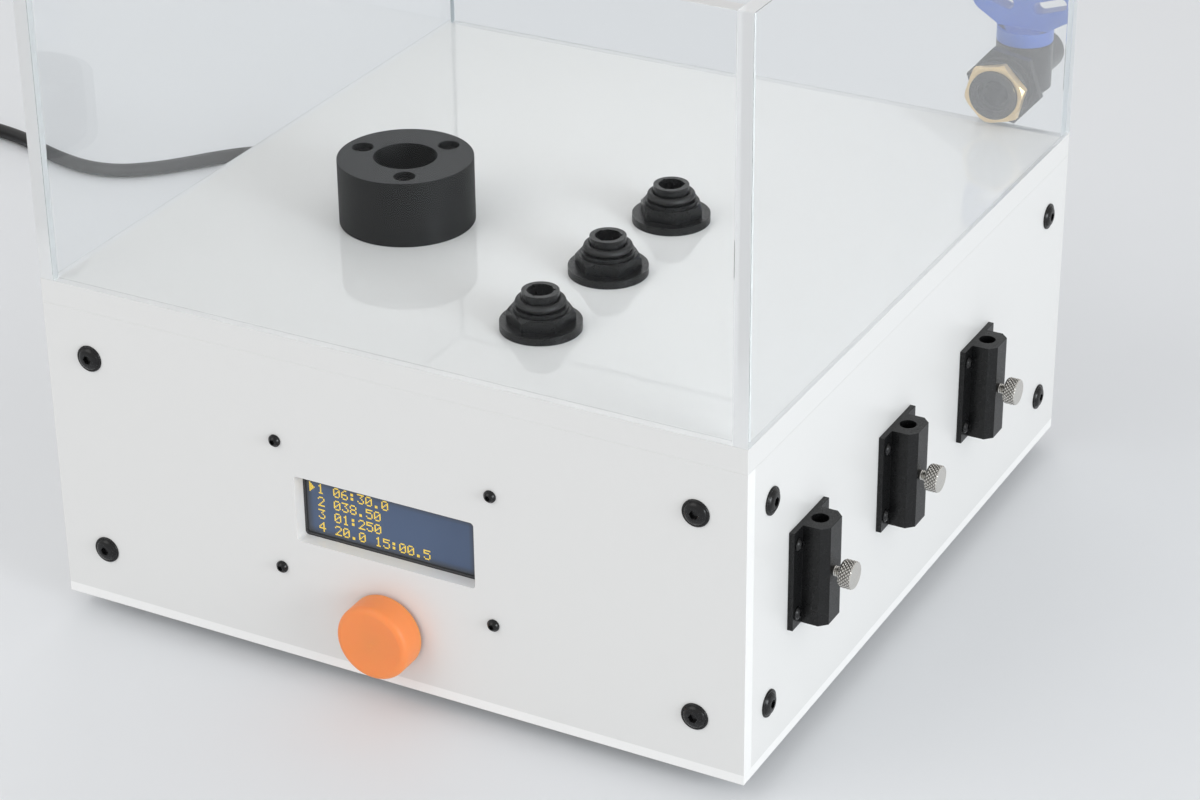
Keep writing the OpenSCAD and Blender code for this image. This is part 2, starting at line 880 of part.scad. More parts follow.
module display_spacers() {
    color("gainsboro")
    for (x = display_hole_xs(), z = display_hole_zs()) {
        translate([x, display_board_y, z]) out_of_front()
        difference() {
            cylinder(d = display_spacer_d, h = display_board_y - panel_t);
            translate([0, 0, -cut]) cylinder(d = small_screw_d + 2 * slip_gap, h = display_board_y);
        }
    }
}

module display_nuts() {
    color("silver")
    for (x = display_hole_xs(), z = display_hole_zs()) {
        translate([x, display_board_y + display_board_t + display_nut_t, z]) out_of_front()
        difference() {
            hex_prism(display_nut_af, display_nut_t);
            translate([0, 0, -cut]) cylinder(d = small_screw_d + 2 * run_gap, h = display_nut_t + 2 * cut);
        }
    }
}

// Encoder and knob, which turn about the line y through the knob's middle

module on_knob_axis(y) {
    translate([knob_x, y, knob_z]) out_of_front() children();
}

module encoder_body() {
    back = panel_t + encoder_l;
    color("silver")
    difference() {
        union() {
            on_knob_axis(back) linear_extrude(encoder_l) square([encoder_w, encoder_h], center = true);
            on_knob_axis(panel_t + cut) cylinder(d = bushing_d, h = panel_t + bushing_l + cut);
        }
        on_knob_axis(back) cylinder(d = shaft_d + 2 * run_gap, h = back + bushing_l + cut);
        on_knob_axis(back + cut)
            cylinder(d = plunger_d + 2 * run_gap, h = back + cut - plunger_y + move_gap);
    }
}

module encoder_nut() {
    color("silver")
    on_knob_axis(0)
    difference() {
        hex_prism(encoder_nut_af, encoder_nut_t);
        translate([0, 0, -cut]) cylinder(d = bushing_d + 2 * run_gap, h = encoder_nut_t + 2 * cut);
    }
}

// The plunger slides in the encoder's back, and the shaft turns on its pin
module encoder_plunger() {
    color("black") {
        on_knob_axis(plunger_y + plunger_t) cylinder(d = plunger_d, h = plunger_t);
        on_knob_axis(plunger_y + cut) cylinder(d = plunger_pin_d, h = plunger_pin_l + cut);
    }
}

module encoder_shaft() {
    rear = plunger_y - shaft_end_gap;
    pin_hole_l = plunger_pin_l + move_gap;
    front = front_reach - knob_wall - knob_dish - move_gap;
    color("silver")
    difference() {
        on_knob_axis(rear) cylinder(d = shaft_d, h = rear + front);
        on_knob_axis(rear + cut) cylinder(d = plunger_pin_d + 2 * run_gap, h = pin_hole_l + cut);
    }
}

module control_knob() {
    r = knob_d / 2;
    bore_l = knob_l - knob_wall - knob_dish;
    color("orange")
    on_knob_axis(-knob_gap)
    difference() {
        union() {
            cylinder(r = r - knob_round, h = knob_l, $fn = 96);
            cylinder(r = r, h = knob_l - knob_round, $fn = 96);
            translate([0, 0, knob_l - knob_round])
                rotate_extrude($fn = 96) translate([r - knob_round, 0]) circle(knob_round);
        }
        dish(r - knob_round);
        translate([0, 0, -cut]) cylinder(d = knob_hollow_d, h = knob_hollow_l + cut);
        translate([0, 0, -cut]) cylinder(d = shaft_d + 2 * run_gap, h = bore_l + cut);
    }
}

// The shallow hollow in the knob's face, cut by a large ball
module dish(r) {
    ball_r = (r ^ 2 + knob_dish ^ 2) / (2 * knob_dish);
    translate([0, 0, knob_l - knob_dish + ball_r]) sphere(ball_r, $fn = 96);
}

// Tube clamps

module tube_clamp(i) {
    half = clamp_column_w / 2;
    outline = [
        [0, -clamp_flange_w / 2], [clamp_flange_t, -clamp_flange_w / 2], [clamp_flange_t, -half],
        [clamp_depth - clamp_chamfer, -half], [clamp_depth, clamp_chamfer - half],
        [clamp_depth, half - clamp_chamfer], [clamp_depth - clamp_chamfer, half], [clamp_flange_t, half],
        [clamp_flange_t, clamp_flange_w / 2], [0, clamp_flange_w / 2]
    ];
    color("black")
    translate([body_w, clamp_ys[i], clamp_z])
    difference() {
        translate([0, 0, -clamp_h / 2]) linear_extrude(clamp_h) polygon(outline);
        translate([clamp_bore_x, 0, -clamp_h / 2 - cut]) cylinder(d = clamp_bore_d, h = clamp_h + 2 * cut);
        translate([clamp_bore_x, 0, 0]) out_of_right() cylinder(d = thumb_d + 2 * run_gap, h = clamp_depth);
        for (dy = [-1, 1], dz = [-1, 1]) {
            translate([-cut, dy * clamp_screw_dy, dz * clamp_screw_dz]) out_of_right()
                cylinder(d = small_screw_d + 2 * slip_gap, h = clamp_flange_t + 2 * cut);
        }
    }
}

module clamp_screws() {
    shank_l = clamp_flange_t + panel_t - screw_tip_gap;
    color("black")
    for (y = clamp_ys, dy = [-1, 1], dz = [-1, 1]) {
        translate([body_w + clamp_flange_t, y + dy * clamp_screw_dy, clamp_z + dz * clamp_screw_dz])
            out_of_right() button_screw(small_screw_d, small_head_d, small_head_h, shank_l);
    }
}

// The thumb screw's tip holds a pad that stays still on the tube while the screw turns
module on_clamp_axis(i, x) {
    translate([body_w + x, clamp_ys[i], clamp_z]) out_of_right() children();
}

module thumb_screw(i) {
    tip_x = pad_x + pad_tip_t + pad_face_gap;
    head_x = clamp_depth + thumb_gap;
    edge_d = thumb_head_d - 2 * thumb_edge;
    color("silver")
    difference() {
        union() {
            on_clamp_axis(i, tip_x) cylinder(d = thumb_d, h = head_x - tip_x + cut);
            on_clamp_axis(i, head_x) cylinder(d1 = edge_d, d2 = thumb_head_d, h = thumb_edge);
            on_clamp_axis(i, head_x + thumb_edge)
                cylinder(d = thumb_head_d, h = thumb_head_l - 2 * thumb_edge);
            on_clamp_axis(i, head_x + thumb_head_l - thumb_edge)
                cylinder(d1 = thumb_head_d, d2 = edge_d, h = thumb_edge);
        }
        on_clamp_axis(i, tip_x - cut)
            cylinder(d = pad_stem_d + 2 * run_gap, h = pad_stem_l + move_gap + cut);
    }
}

module clamp_pad(i) {
    color("ivory") {
        on_clamp_axis(i, pad_x) cylinder(d = pad_tip_d, h = pad_tip_t);
        on_clamp_axis(i, pad_x) cylinder(d = pad_stem_d, h = pad_tip_t + pad_stem_l);
    }
}

// Drain tap, through the tank's rear wall

module on_tap_axis(y) {
    translate([tap_x, body_d + y, tap_z]) out_of_rear() children();
}

module on_plug_axis(z) {
    translate([tap_x, body_d + tap_axis_l, tap_z + z]) children();
}

module tap_body() {
    through_l = tap_inner_l + tap_axis_l + tap_body_d / 2 + tap_outlet_l;
    color("black")
    difference() {
        union() {
            on_tap_axis(-tap_inner_l) cylinder(d = tap_thread_d, h = tap_inner_l + tap_seal_t + cut);
            on_tap_axis(tap_seal_t) rotate(tap_flange_turn) hex_prism(tap_flange_af, tap_flange_t);
            on_tap_axis(tap_seal_t) cylinder(d = tap_neck_d, h = tap_axis_l);
            on_tap_axis(tap_axis_l) cylinder(d = tap_neck_d, h = tap_body_d / 2 + tap_outlet_l);
            on_plug_axis(tap_body_low)
                cylinder(d1 = tap_body_d - 2 * tap_body_edge, d2 = tap_body_d, h = tap_body_edge);
            on_plug_axis(tap_body_low + tap_body_edge)
                cylinder(d = tap_body_d, h = tap_body_high - tap_body_low - tap_body_edge);
        }
        on_tap_axis(-tap_inner_l - cut) cylinder(d = tap_way_d, h = through_l + 2 * cut);
        on_tap_axis(-tap_inner_l - cut) cylinder(d = tap_recess_d, h = tap_recess_l + cut);
        on_plug_axis(tap_body_low - cut)
            cylinder(d = tap_plug_d + 2 * slip_gap, h = tap_body_high - tap_body_low + 2 * cut);
    }
}

module tap_nut() {
    color("goldenrod")
    on_tap_axis(-tank_t - tap_seal_t - tap_nut_t)
    difference() {
        rotate(tap_nut_turn)
        intersection() {
            hex_prism(tap_nut_af, tap_nut_t);
            cylinder(d1 = tap_nut_af + 2 * tap_nut_face, d2 = tap_nut_af + 2 * tap_nut_t, h = tap_nut_t);
        }
        translate([0, 0, -cut]) cylinder(d = tap_thread_d + 2 * run_gap, h = tap_nut_t + 2 * cut);
    }
}

module tap_seals() {
    color("dimgray")
    for (y = [-tank_t - tap_seal_t, 0]) {
        on_tap_axis(y)
        difference() {
            cylinder(d = tap_seal_d, h = tap_seal_t);
            translate([0, 0, -cut]) cylinder(d = tap_thread_d + 2 * slip_gap, h = tap_seal_t + 2 * cut);
        }
    }
}

// The plug and its handle are one piece, drawn shut: its cross hole lies along x
module tap_plug() {
    collar_z = tap_body_high + move_gap;
    plug_low = tap_body_low - tap_tip_l;
    color("royalblue")
    difference() {
        union() {
            on_plug_axis(plug_low) cylinder(d = tap_plug_d, h = collar_z + cut - plug_low);
            on_plug_axis(collar_z) cylinder(d = tap_body_d, h = tap_collar_l);
            on_plug_axis(collar_z + tap_collar_l)
                rotate([90, 0, 0]) translate([0, 0, -tap_handle_t / 2])
                linear_extrude(tap_handle_t) tap_wings();
        }
        on_plug_axis(0) out_of_left() translate([0, 0, -tap_body_d])
            cylinder(d = tap_way_d, h = 2 * tap_body_d);
    }
}

// Two round wings that flare from the collar's top, each with a slot
module tap_wings() {
    foot = sqrt((tap_body_d / 2) ^ 2 - (tap_handle_t / 2) ^ 2) - tap_foot_gap;
    lobe = [tap_handle_w / 2 - tap_wing_r, tap_wing_z];
    shoulder = [lobe.x, tap_handle_h - tap_wing_r];
    reach = norm(lobe - [foot, 0]);
    aim = atan2(lobe.y, lobe.x - foot) - asin(tap_wing_r / reach);
    half = concat(
        [[foot, -cut], [foot, 0]],
        arc(lobe, tap_wing_r, aim - 90, 0),
        arc(shoulder, tap_wing_r, 0, 90)
    );
    other_half = [for (k = [len(half) - 1:-1:0]) [-half[k].x, half[k].y]];
    difference() {
        polygon(concat(half, other_half));
        for (s = [0, 1]) {
            mirror([s, 0]) long_slot(tap_slot_in, tap_slot_out, tap_slot_w);
        }
    }
}

// A slot with round ends, from p to q
module long_slot(p, q, w) {
    turn = atan2(q.y - p.y, q.x - p.x);
    polygon(concat(arc(q, w / 2, turn - 90, turn + 90), arc(p, w / 2, turn + 90, turn + 270)));
}

// Mains inlet, switch and connector

module on_inlet_axis(y, x = 0) {
    translate([inlet_x + x, body_d + y, inlet_z]) out_of_rear() children();
}

module mains_inlet() {
    body_w_in = inlet_w - 2 * inlet_edge;
    body_h_in = inlet_h - 2 * inlet_edge;
    color("black") {
        difference() {
            union() {
                on_inlet_axis(0) linear_extrude(inlet_lip_t) rounded(inlet_w, inlet_h, inlet_edge);
                on_inlet_axis(-inlet_l) linear_extrude(inlet_l + cut)
                    square([body_w_in, body_h_in], center = true);
            }
            on_inlet_axis(inlet_lip_t - socket_l, socket_dx) linear_extrude(socket_l + cut)
                rounded(socket_w, socket_h, socket_corner);
            on_inlet_axis(inlet_lip_t - rocker_depth, rocker_dx) linear_extrude(rocker_depth + cut)
                square([rocker_w + 2 * move_gap, rocker_h + 2 * move_gap], center = true);
            on_rocker_axis(rocker_w + 2 * rocker_pin_l + 2 * move_gap, rocker_pin_d + 2 * run_gap);
        }
        inlet_pins(pin_w, pin_h, pin_l, inlet_lip_t - socket_l - cut);
    }
}

// Three flat blades, or the slots that they go into
module inlet_pins(w, h, l, y) {
    for (k = [-1, 0, 1]) {
        drop = k == 0 ? -pin_drop : pin_drop;
        on_inlet_axis(y, socket_dx + k * pin_dx) linear_extrude(l + cut)
            translate([0, drop]) square([w, h], center = true);
    }
}

// A round bar along x through the rocker's pivot
module on_rocker_axis(l, d) {
    translate([inlet_x + rocker_dx - l / 2, body_d + inlet_lip_t - rocker_back, inlet_z])
        out_of_right() cylinder(d = d, h = l);
}

// The rocker rests tipped to one side, and its two faces meet in a shallow trough
module power_rocker() {
    face_w = rocker_h / 2 - move_gap;
    color("black") {
        on_rocker_axis(rocker_w + 2 * rocker_pin_l, rocker_pin_d);
        translate([inlet_x + rocker_dx, body_d + inlet_lip_t - rocker_back, inlet_z])
        rotate([-rocker_tilt / 2, 0, 0])
        translate([-rocker_w / 2, 0, 0])
        out_of_right()
        linear_extrude(rocker_w)
        intersection() {
            circle(rocker_h / 2);
            polygon([
                [face_w, -rocker_back - rocker_dip], [face_w, rocker_back + rocker_rise],
                [0, rocker_back - rocker_dip], [-face_w, rocker_back + rocker_rise],
                [-face_w, -rocker_back - rocker_dip]
            ]);
        }
    }
}

module cord_connector() {
    nose_l = socket_l - plug_gap;
    nose_y = inlet_lip_t - nose_l;
    color("black")
    difference() {
        union() {
            on_inlet_axis(nose_y, socket_dx) linear_extrude(nose_l + cut)
                rounded(socket_w - 2 * plug_gap, socket_h - 2 * plug_gap, socket_corner - plug_gap);
            on_inlet_axis(inlet_lip_t, socket_dx) linear_extrude(grip_l)
                rounded(grip_w, grip_h, grip_corner);
            on_inlet_axis(inlet_lip_t + grip_l, socket_dx)
                cylinder(d1 = relief_d, d2 = relief_end_d, h = relief_l);
        }
        inlet_pins(pin_w + 2 * slip_gap, pin_h + 2 * slip_gap, pin_l + slip_gap, nose_y - cut);
    }
}

// Mains lead

module cord_run() {
    color("black") swept_tube(cord_points, cord_d, cord_sides);
}

module cord_coil() {
    color("black") swept_tube(coil_path, cord_d, coil_sides);
}

// A strap around the coil's turns, on the side towards the front
module coil_tie() {
    inner_w = coil_outer_r - coil_r + cord_d + 2 * tie_slack;
    inner_h = coil_step + cord_d + 2 * tie_gap;
    middle = [coil_x, coil_y - (coil_outer_r + coil_r) / 2, coil_low_z + coil_step / 2];
    color("black")
    translate(middle + [-tie_l / 2, 0, 0])
    out_of_right()
    linear_extrude(tie_l)
    difference() {
        rounded(inner_h + 2 * tie_t, inner_w + 2 * tie_t, tie_corner + tie_t);
        rounded(inner_h, inner_w, tie_corner);
    }
}

module mains_plug() {
    end = tail_points[len(tail_points) - 1];
    relief_r = mains_plug_relief_d / 2;
    face_y = mains_plug_relief_l + mains_plug_body_l;
    color("black")
    translate(end)
    out_of_front() {
        cylinder(d1 = relief_end_d, d2 = mains_plug_relief_d, h = mains_plug_relief_l);
        translate([0, 0, mains_plug_relief_l])
            cylinder(r1 = relief_r + mains_plug_step, d2 = mains_plug_neck_d, h = mains_plug_body_l / 2);
        translate([0, 0, mains_plug_relief_l + mains_plug_body_l / 2])
            cylinder(d1 = mains_plug_neck_d, d2 = mains_plug_d, h = mains_plug_body_l / 2);
        translate([0, 0, face_y]) cylinder(d = mains_plug_d, h = mains_plug_face_l);
        for (s = [-1, 1]) {
            translate([s * mains_plug_pin_dx, 0, face_y])
                cylinder(d = mains_plug_pin_d, h = mains_plug_face_l + mains_plug_pin_l);
        }
    }
}

// Inside the base

module power_supply() {
    color("silver")
    translate([supply_x, supply_y, bottom_t]) cube([supply_w, supply_d, supply_h]);
}

function board_hole_xs() = [board_x + board_hole_inset, board_x + board_w - board_hole_inset];
function board_hole_ys() = [board_y + board_hole_inset, board_y + board_d - board_hole_inset];

module controller_board() {
    chip_z = bottom_t + board_spacer_l + board_t;
    color("darkgreen") {
        translate([board_x, board_y, bottom_t + board_spacer_l]) cube([board_w, board_d, board_t]);
        translate([board_x + board_w / 4, board_y + board_d / 4, chip_z - board_t])
            cube([board_w / 4, board_d / 2, board_t + chip_h]);
        translate([board_x + 3 * board_w / 5, board_y + board_d / 3, chip_z - board_t])
            cube([board_w / 5, board_d / 5, board_t + chip_h]);
    }
}

module board_spacers() {
    color("white")
    for (x = board_hole_xs(), y = board_hole_ys()) {
        translate([x, y, bottom_t]) cylinder(d = board_spacer_d, h = board_spacer_l);
    }
}

// The valve block carries two valves under the first two ports, and closes the pump's chamber
module valve_block() {
    color("slategray")
    difference() {
        union() {
            translate([port_x - block_w / 2, block_front, bottom_t])
                cube([block_w, block_back - block_front, block_h]);
            translate([port_x - cover_w / 2, block_back - cover_t, bottom_t])
                cube([cover_w, cover_t, cover_w]);
            for (i = [0, 1]) {
                translate([port_x, port_ys[i], bottom_t + block_h - cut])
                    cylinder(d = spigot_d, h = spigot_l + cut);
                translate([port_x, port_ys[i], pump_z]) out_of_right()
                    cylinder(d = coil_can_d, h = block_w / 2 + coil_can_l);
            }
        }
        for (i = [0, 1]) {
            translate([port_x, port_ys[i], pump_z]) cylinder(d = port_bore_d, h = block_h + spigot_l);
        }
        translate([port_x, port_ys[0], pump_z]) out_of_rear()
            cylinder(d = port_bore_d, h = block_back - port_ys[0] + cut);
    }
}

module on_pump_axis(y) {
    translate([port_x, block_back + y, pump_z]) out_of_rear() children();
}

module pump_body() {
    body_l = pump_l + motor_l;
    outlet_l = pump_d / 2 + spigot_l;
    color("dimgray")
    difference() {
        union() {
            on_pump_axis(0) cylinder(d = pump_d, h = pump_l);
            on_pump_axis(pump_l - cut) cylinder(d = motor_d, h = motor_l + cut);
            translate([port_x - pump_foot_w / 2, block_back, bottom_t])
                cube([pump_foot_w, body_l - cut, pump_z - bottom_t]);
            translate([port_x, port_ys[2], pump_z]) cylinder(d = spigot_d, h = outlet_l);
        }
        on_pump_axis(-cut) cylinder(d = pump_chamber_d, h = pump_chamber_l + cut);
        on_pump_axis(-cut)
            cylinder(d = pump_shaft_d + 2 * run_gap, h = pump_chamber_l + pump_bearing_l + cut);
        translate([port_x, port_ys[2], pump_z]) cylinder(d = port_bore_d, h = outlet_l + cut);
    }
}

module pump_rotor() {
    shaft_l = pump_chamber_l + pump_bearing_l - 2 * rotor_end_gap;
    color("ivory") {
        on_pump_axis(rotor_end_gap) cylinder(d = pump_shaft_d, h = shaft_l);
        on_pump_axis(pump_chamber_l - rotor_end_gap - rotor_disc_t) cylinder(d = rotor_d, h = rotor_disc_t);
        for (k = [0:5]) {
            on_pump_axis(pump_chamber_l - rotor_end_gap - rotor_disc_t - rotor_blade_l)
                rotate(60 * k) translate([0, -rotor_blade_t / 2, 0])
                cube([rotor_d / 2 - rotor_rim, rotor_blade_t, rotor_blade_l + cut]);
        }
    }
}

// Short hoses from the ports down to the valve block and the pump
module inner_hoses() {
    top_z = deck_top - port_thread_l - hose_end_gap;
    lows = [bottom_t + block_h, bottom_t + block_h, pump_z + pump_d / 2];
    color("lightgray")
    for (i = [0:2]) {
        low_z = lows[i] + hose_end_gap;
        translate([port_x, port_ys[i], low_z])
        difference() {
            cylinder(d = hose_d, h = top_z - low_z);
            translate([0, 0, -cut]) cylinder(d = spigot_d + 2 * run_gap, h = top_z - low_z + 2 * cut);
        }
    }
}

in_frame() bottom_plate();
in_frame() rubber_feet();
in_frame() base_screws();
in_frame() corner_posts();
in_frame() front_panel();
in_frame() rear_panel();
in_frame() left_panel();
in_frame() right_panel();
in_frame() panel_screws();
in_frame() deck_plate();
in_frame() tank_front_wall();
in_frame() tank_rear_wall();
in_frame() tank_left_wall();
in_frame() tank_right_wall();
in_frame() column_mount();
in_frame() column_mount_screws();
in_frame() port_fitting(0);  // port_fitting_1
in_frame() port_fitting(1);  // port_fitting_2
in_frame() port_fitting(2);  // port_fitting_3
in_frame() port_o_rings();
in_frame() port_backnuts();
in_frame() display_board();
in_frame() display_frame();
in_frame() display_glass();
in_frame() display_screws();
in_frame() display_spacers();
in_frame() display_nuts();
in_frame() encoder_body();
in_frame() encoder_nut();
in_frame() encoder_plunger();
in_frame() encoder_shaft();
in_frame() control_knob();
in_frame() tube_clamp(0);  // tube_clamp_1
in_frame() tube_clamp(1);  // tube_clamp_2
in_frame() tube_clamp(2);  // tube_clamp_3
in_frame() clamp_screws();
in_frame() thumb_screw(0);  // thumb_screw_1
in_frame() thumb_screw(1);  // thumb_screw_2
in_frame() thumb_screw(2);  // thumb_screw_3
in_frame() clamp_pad(0);  // clamp_pad_1
in_frame() clamp_pad(1);  // clamp_pad_2
in_frame() clamp_pad(2);  // clamp_pad_3
in_frame() tap_body();
in_frame() tap_nut();
in_frame() tap_seals();
in_frame() tap_plug();
in_frame() mains_inlet();
in_frame() power_rocker();
in_frame() cord_connector();
cord_run();
cord_coil();
coil_tie();
mains_plug();
in_frame() power_supply();
in_frame() controller_board();
in_frame() board_spacers();
in_frame() valve_block();
in_frame() pump_body();
in_frame() pump_rotor();
in_frame() inner_hoses();
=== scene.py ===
"""Looks of the film processor: finishes, display figures, knurls, mains lead, floor, light and camera."""

import json
import math

import bpy
from mathutils import Matrix, Vector


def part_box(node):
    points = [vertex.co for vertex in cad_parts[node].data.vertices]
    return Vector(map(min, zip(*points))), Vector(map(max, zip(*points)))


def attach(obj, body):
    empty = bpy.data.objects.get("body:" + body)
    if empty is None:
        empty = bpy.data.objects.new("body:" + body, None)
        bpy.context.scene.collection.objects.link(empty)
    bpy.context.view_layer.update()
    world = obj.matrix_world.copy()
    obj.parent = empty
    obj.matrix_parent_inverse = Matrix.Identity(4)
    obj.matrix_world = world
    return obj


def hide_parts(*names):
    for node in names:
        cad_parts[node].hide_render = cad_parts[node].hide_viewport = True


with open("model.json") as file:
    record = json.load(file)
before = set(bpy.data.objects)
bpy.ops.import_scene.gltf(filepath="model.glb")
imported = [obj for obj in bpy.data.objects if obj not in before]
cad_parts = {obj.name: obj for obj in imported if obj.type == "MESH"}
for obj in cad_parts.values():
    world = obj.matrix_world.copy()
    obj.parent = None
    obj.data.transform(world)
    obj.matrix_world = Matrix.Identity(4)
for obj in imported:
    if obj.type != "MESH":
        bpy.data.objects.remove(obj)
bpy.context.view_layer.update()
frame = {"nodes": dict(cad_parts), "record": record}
nodes = frame["nodes"]
scene = bpy.context.scene
MM = 0.001
MICRON = 0.000001

# Camera, from the photograph's perspective
CAMERA_PLACE = (0.5606, -1.0560, 0.6865)
CAMERA_YAW = math.radians(28.339)
CAMERA_PITCH = math.radians(27.989)
CAMERA_ROLL = math.radians(-0.606)
CAMERA_LENS = 97.5
CAMERA_NEAR = 0.01
SENSOR_WIDTH = 36


def make_camera():
    """The photograph's camera: no shift and no depth of field."""
    flat = math.cos(CAMERA_PITCH)
    forward = Vector((-math.sin(CAMERA_YAW) * flat, math.cos(CAMERA_YAW) * flat, -math.sin(CAMERA_PITCH)))
    right = Vector((math.cos(CAMERA_YAW), math.sin(CAMERA_YAW), 0))
    up = right.cross(forward)
    side = right * math.cos(CAMERA_ROLL) + up * math.sin(CAMERA_ROLL)
    top = up * math.cos(CAMERA_ROLL) - right * math.sin(CAMERA_ROLL)
    data = bpy.data.cameras.new("camera")
    data.lens = CAMERA_LENS
    data.sensor_width = SENSOR_WIDTH
    data.clip_start = CAMERA_NEAR
    camera = bpy.data.objects.new("camera", data)
    scene.collection.objects.link(camera)
    turn = Matrix((side, top, -forward)).transposed().to_4x4()
    camera.matrix_world = Matrix.Translation(CAMERA_PLACE) @ turn
    scene.camera = camera


make_camera()

# Sizes of the display: rows of 5 by 7 dot figures at the pitch of a 20 by 4 module
DOT = 0.52 * MM
DOT_PITCH = 0.6 * MM
DOT_PROUD = 0.06 * MM
DOT_COLUMNS = 5
DOT_LINES = 7
FIGURE_PITCH = 3.55 * MM
ROW_PITCH = 5.5 * MM
ROWS = 4
COLUMNS = 20
VIEW_WIDTH = 77 * MM
VIEW_HEIGHT = 26.5 * MM
ROWS_LEFT = 1.6 * MM
ROWS_LOW = 1.4 * MM
BORDER_FADE = 1.5 * MM


def rows_box():
    """Left, right, bottom and top of the rows of figures, in the display's view."""
    low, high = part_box("display_glass")
    middle = (low + high) / 2
    left = middle.x - VIEW_WIDTH / 2 + ROWS_LEFT
    right = left + COLUMNS * FIGURE_PITCH
    bottom = middle.z - VIEW_HEIGHT / 2 + ROWS_LOW
    top = bottom + (ROWS - 1) * ROW_PITCH + DOT_LINES * DOT_PITCH
    return left, right, bottom, top


# Mesh helpers

def add_mesh(name, points, faces, smooth=True):
    """A new mesh object in the part's frame."""
    mesh = bpy.data.meshes.new(name)
    mesh.from_pydata([tuple(p) for p in points], [], faces)
    mesh.validate()
    if smooth:
        mesh.shade_smooth()
    obj = bpy.data.objects.new(name, mesh)
    scene.collection.objects.link(obj)
    return obj


def tube_faces(first, rings, sides):
    """Faces of a tube with closed ends, whose rings of points follow one another from the first point."""
    faces = []
    for ring in range(rings - 1):
        for k in range(sides):
            a = first + ring * sides + k
            b = first + ring * sides + (k + 1) % sides
            faces.append((a, b, b + sides, a + sides))
    last = first + (rings - 1) * sides
    faces.append(tuple(range(first, first + sides))[::-1])
    faces.append(tuple(range(last, last + sides)))
    return faces


def place_piece(obj, body, slot, material, *replaced):
    """Put a finished piece on its body, with its material; the slot is not used."""
    obj.data.materials.append(material)
    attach(obj, body)
    if replaced:
        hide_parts(*replaced)
    return obj


# Material helpers
NOISE_SPAN = (0.3, 0.7)
FULL_SPAN = (0.0, 1.0)
NOISE_DETAIL = 4.0
FINE_DETAIL = 6.0
BROAD = 12


def new_material(name):
    """An empty material with one Principled shader."""
    material = bpy.data.materials.new(name)
    material.use_nodes = True
    tree = material.node_tree
    tree.nodes.clear()
    output = tree.nodes.new("ShaderNodeOutputMaterial")
    shader = tree.nodes.new("ShaderNodeBsdfPrincipled")
    tree.links.new(shader.outputs[0], output.inputs["Surface"])
    return material, tree, shader, output


def set_sockets(shader, **sockets):
    """Set plain values on sockets, whose names have underscores for their spaces."""
    for socket, value in sockets.items():
        shader.inputs[socket.replace("_", " ")].default_value = value


def noise_node(tree, scale, detail=NOISE_DETAIL):
    """Noise in the part's frame, with scale in waves per metre."""
    place = tree.nodes.new("ShaderNodeTexCoord")
    node = tree.nodes.new("ShaderNodeTexNoise")
    node.inputs["Scale"].default_value = scale
    node.inputs["Detail"].default_value = detail
    tree.links.new(place.outputs["Object"], node.inputs["Vector"])
    return node.outputs["Fac"]


def ramp(tree, source, low, high, span=NOISE_SPAN):
    """Map a span of a value to a range of values, or of colours."""
    if isinstance(low, (int, float)):
        node = tree.nodes.new("ShaderNodeMapRange")
        node.inputs["From Min"].default_value = span[0]
        node.inputs["From Max"].default_value = span[1]
        node.inputs["To Min"].default_value = low
        node.inputs["To Max"].default_value = high
        tree.links.new(source, node.inputs["Value"])
        return node.outputs["Result"]
    node = tree.nodes.new("ShaderNodeValToRGB")
    node.color_ramp.elements[0].position = span[0]
    node.color_ramp.elements[1].position = span[1]
    node.color_ramp.elements[0].color = (*low, 1)
    node.color_ramp.elements[1].color = (*high, 1)
    tree.links.new(source, node.inputs["Fac"])
    return node.outputs["Color"]


def math_node(tree, operation, *values):
    """A Math node on sockets or plain numbers."""
    node = tree.nodes.new("ShaderNodeMath")
    node.operation = operation
    for place, value in zip(node.inputs, values):
        if isinstance(value, (int, float)):
            place.default_value = value
        else:
            tree.links.new(value, place)
    return node.outputs[0]


def coordinates(tree, kind):
    """The x, y and z of a texture coordinate in the part's frame: Object or Normal."""
    place = tree.nodes.new("ShaderNodeTexCoord")
    split = tree.nodes.new("ShaderNodeSeparateXYZ")
    tree.links.new(place.outputs[kind], split.inputs[0])
    return split.outputs


def mix_by_ray(tree, ray, plain, special, output):
    """Send one shader to the output, and another for one kind of ray."""
    path = tree.nodes.new("ShaderNodeLightPath")
    mix = tree.nodes.new("ShaderNodeMixShader")
    tree.links.new(path.outputs[ray], mix.inputs["Fac"])
    tree.links.new(plain.outputs[0], mix.inputs[1])
    tree.links.new(special.outputs[0], mix.inputs[2])
    tree.links.new(mix.outputs[0], output.inputs["Surface"])


def add_bump(tree, shader, source, distance):
    """Bump from a 0-1 height, with distance in metres."""
    node = tree.nodes.new("ShaderNodeBump")
    node.inputs["Distance"].default_value = distance
    tree.links.new(source, node.inputs["Height"])
    tree.links.new(node.outputs["Normal"], shader.inputs["Normal"])


def scaled(colour, factor):
    """A colour made lighter or darker."""
    return tuple(min(1.0, c * factor) for c in colour)


def grain_colour(tree, shader, colour, grain, spread):
    """A colour that varies a little with noise much broader than the grain."""
    broad = noise_node(tree, grain / BROAD)
    shades = ramp(tree, broad, scaled(colour, 1 - spread), scaled(colour, 1 + spread))
    tree.links.new(shades, shader.inputs["Base Color"])


def grain_rough(tree, shader, rough, grain):
    """Roughness that follows fine noise, which is returned."""
    fine = noise_node(tree, grain, FINE_DETAIL)
    tree.links.new(ramp(tree, fine, *rough), shader.inputs["Roughness"])
    return fine


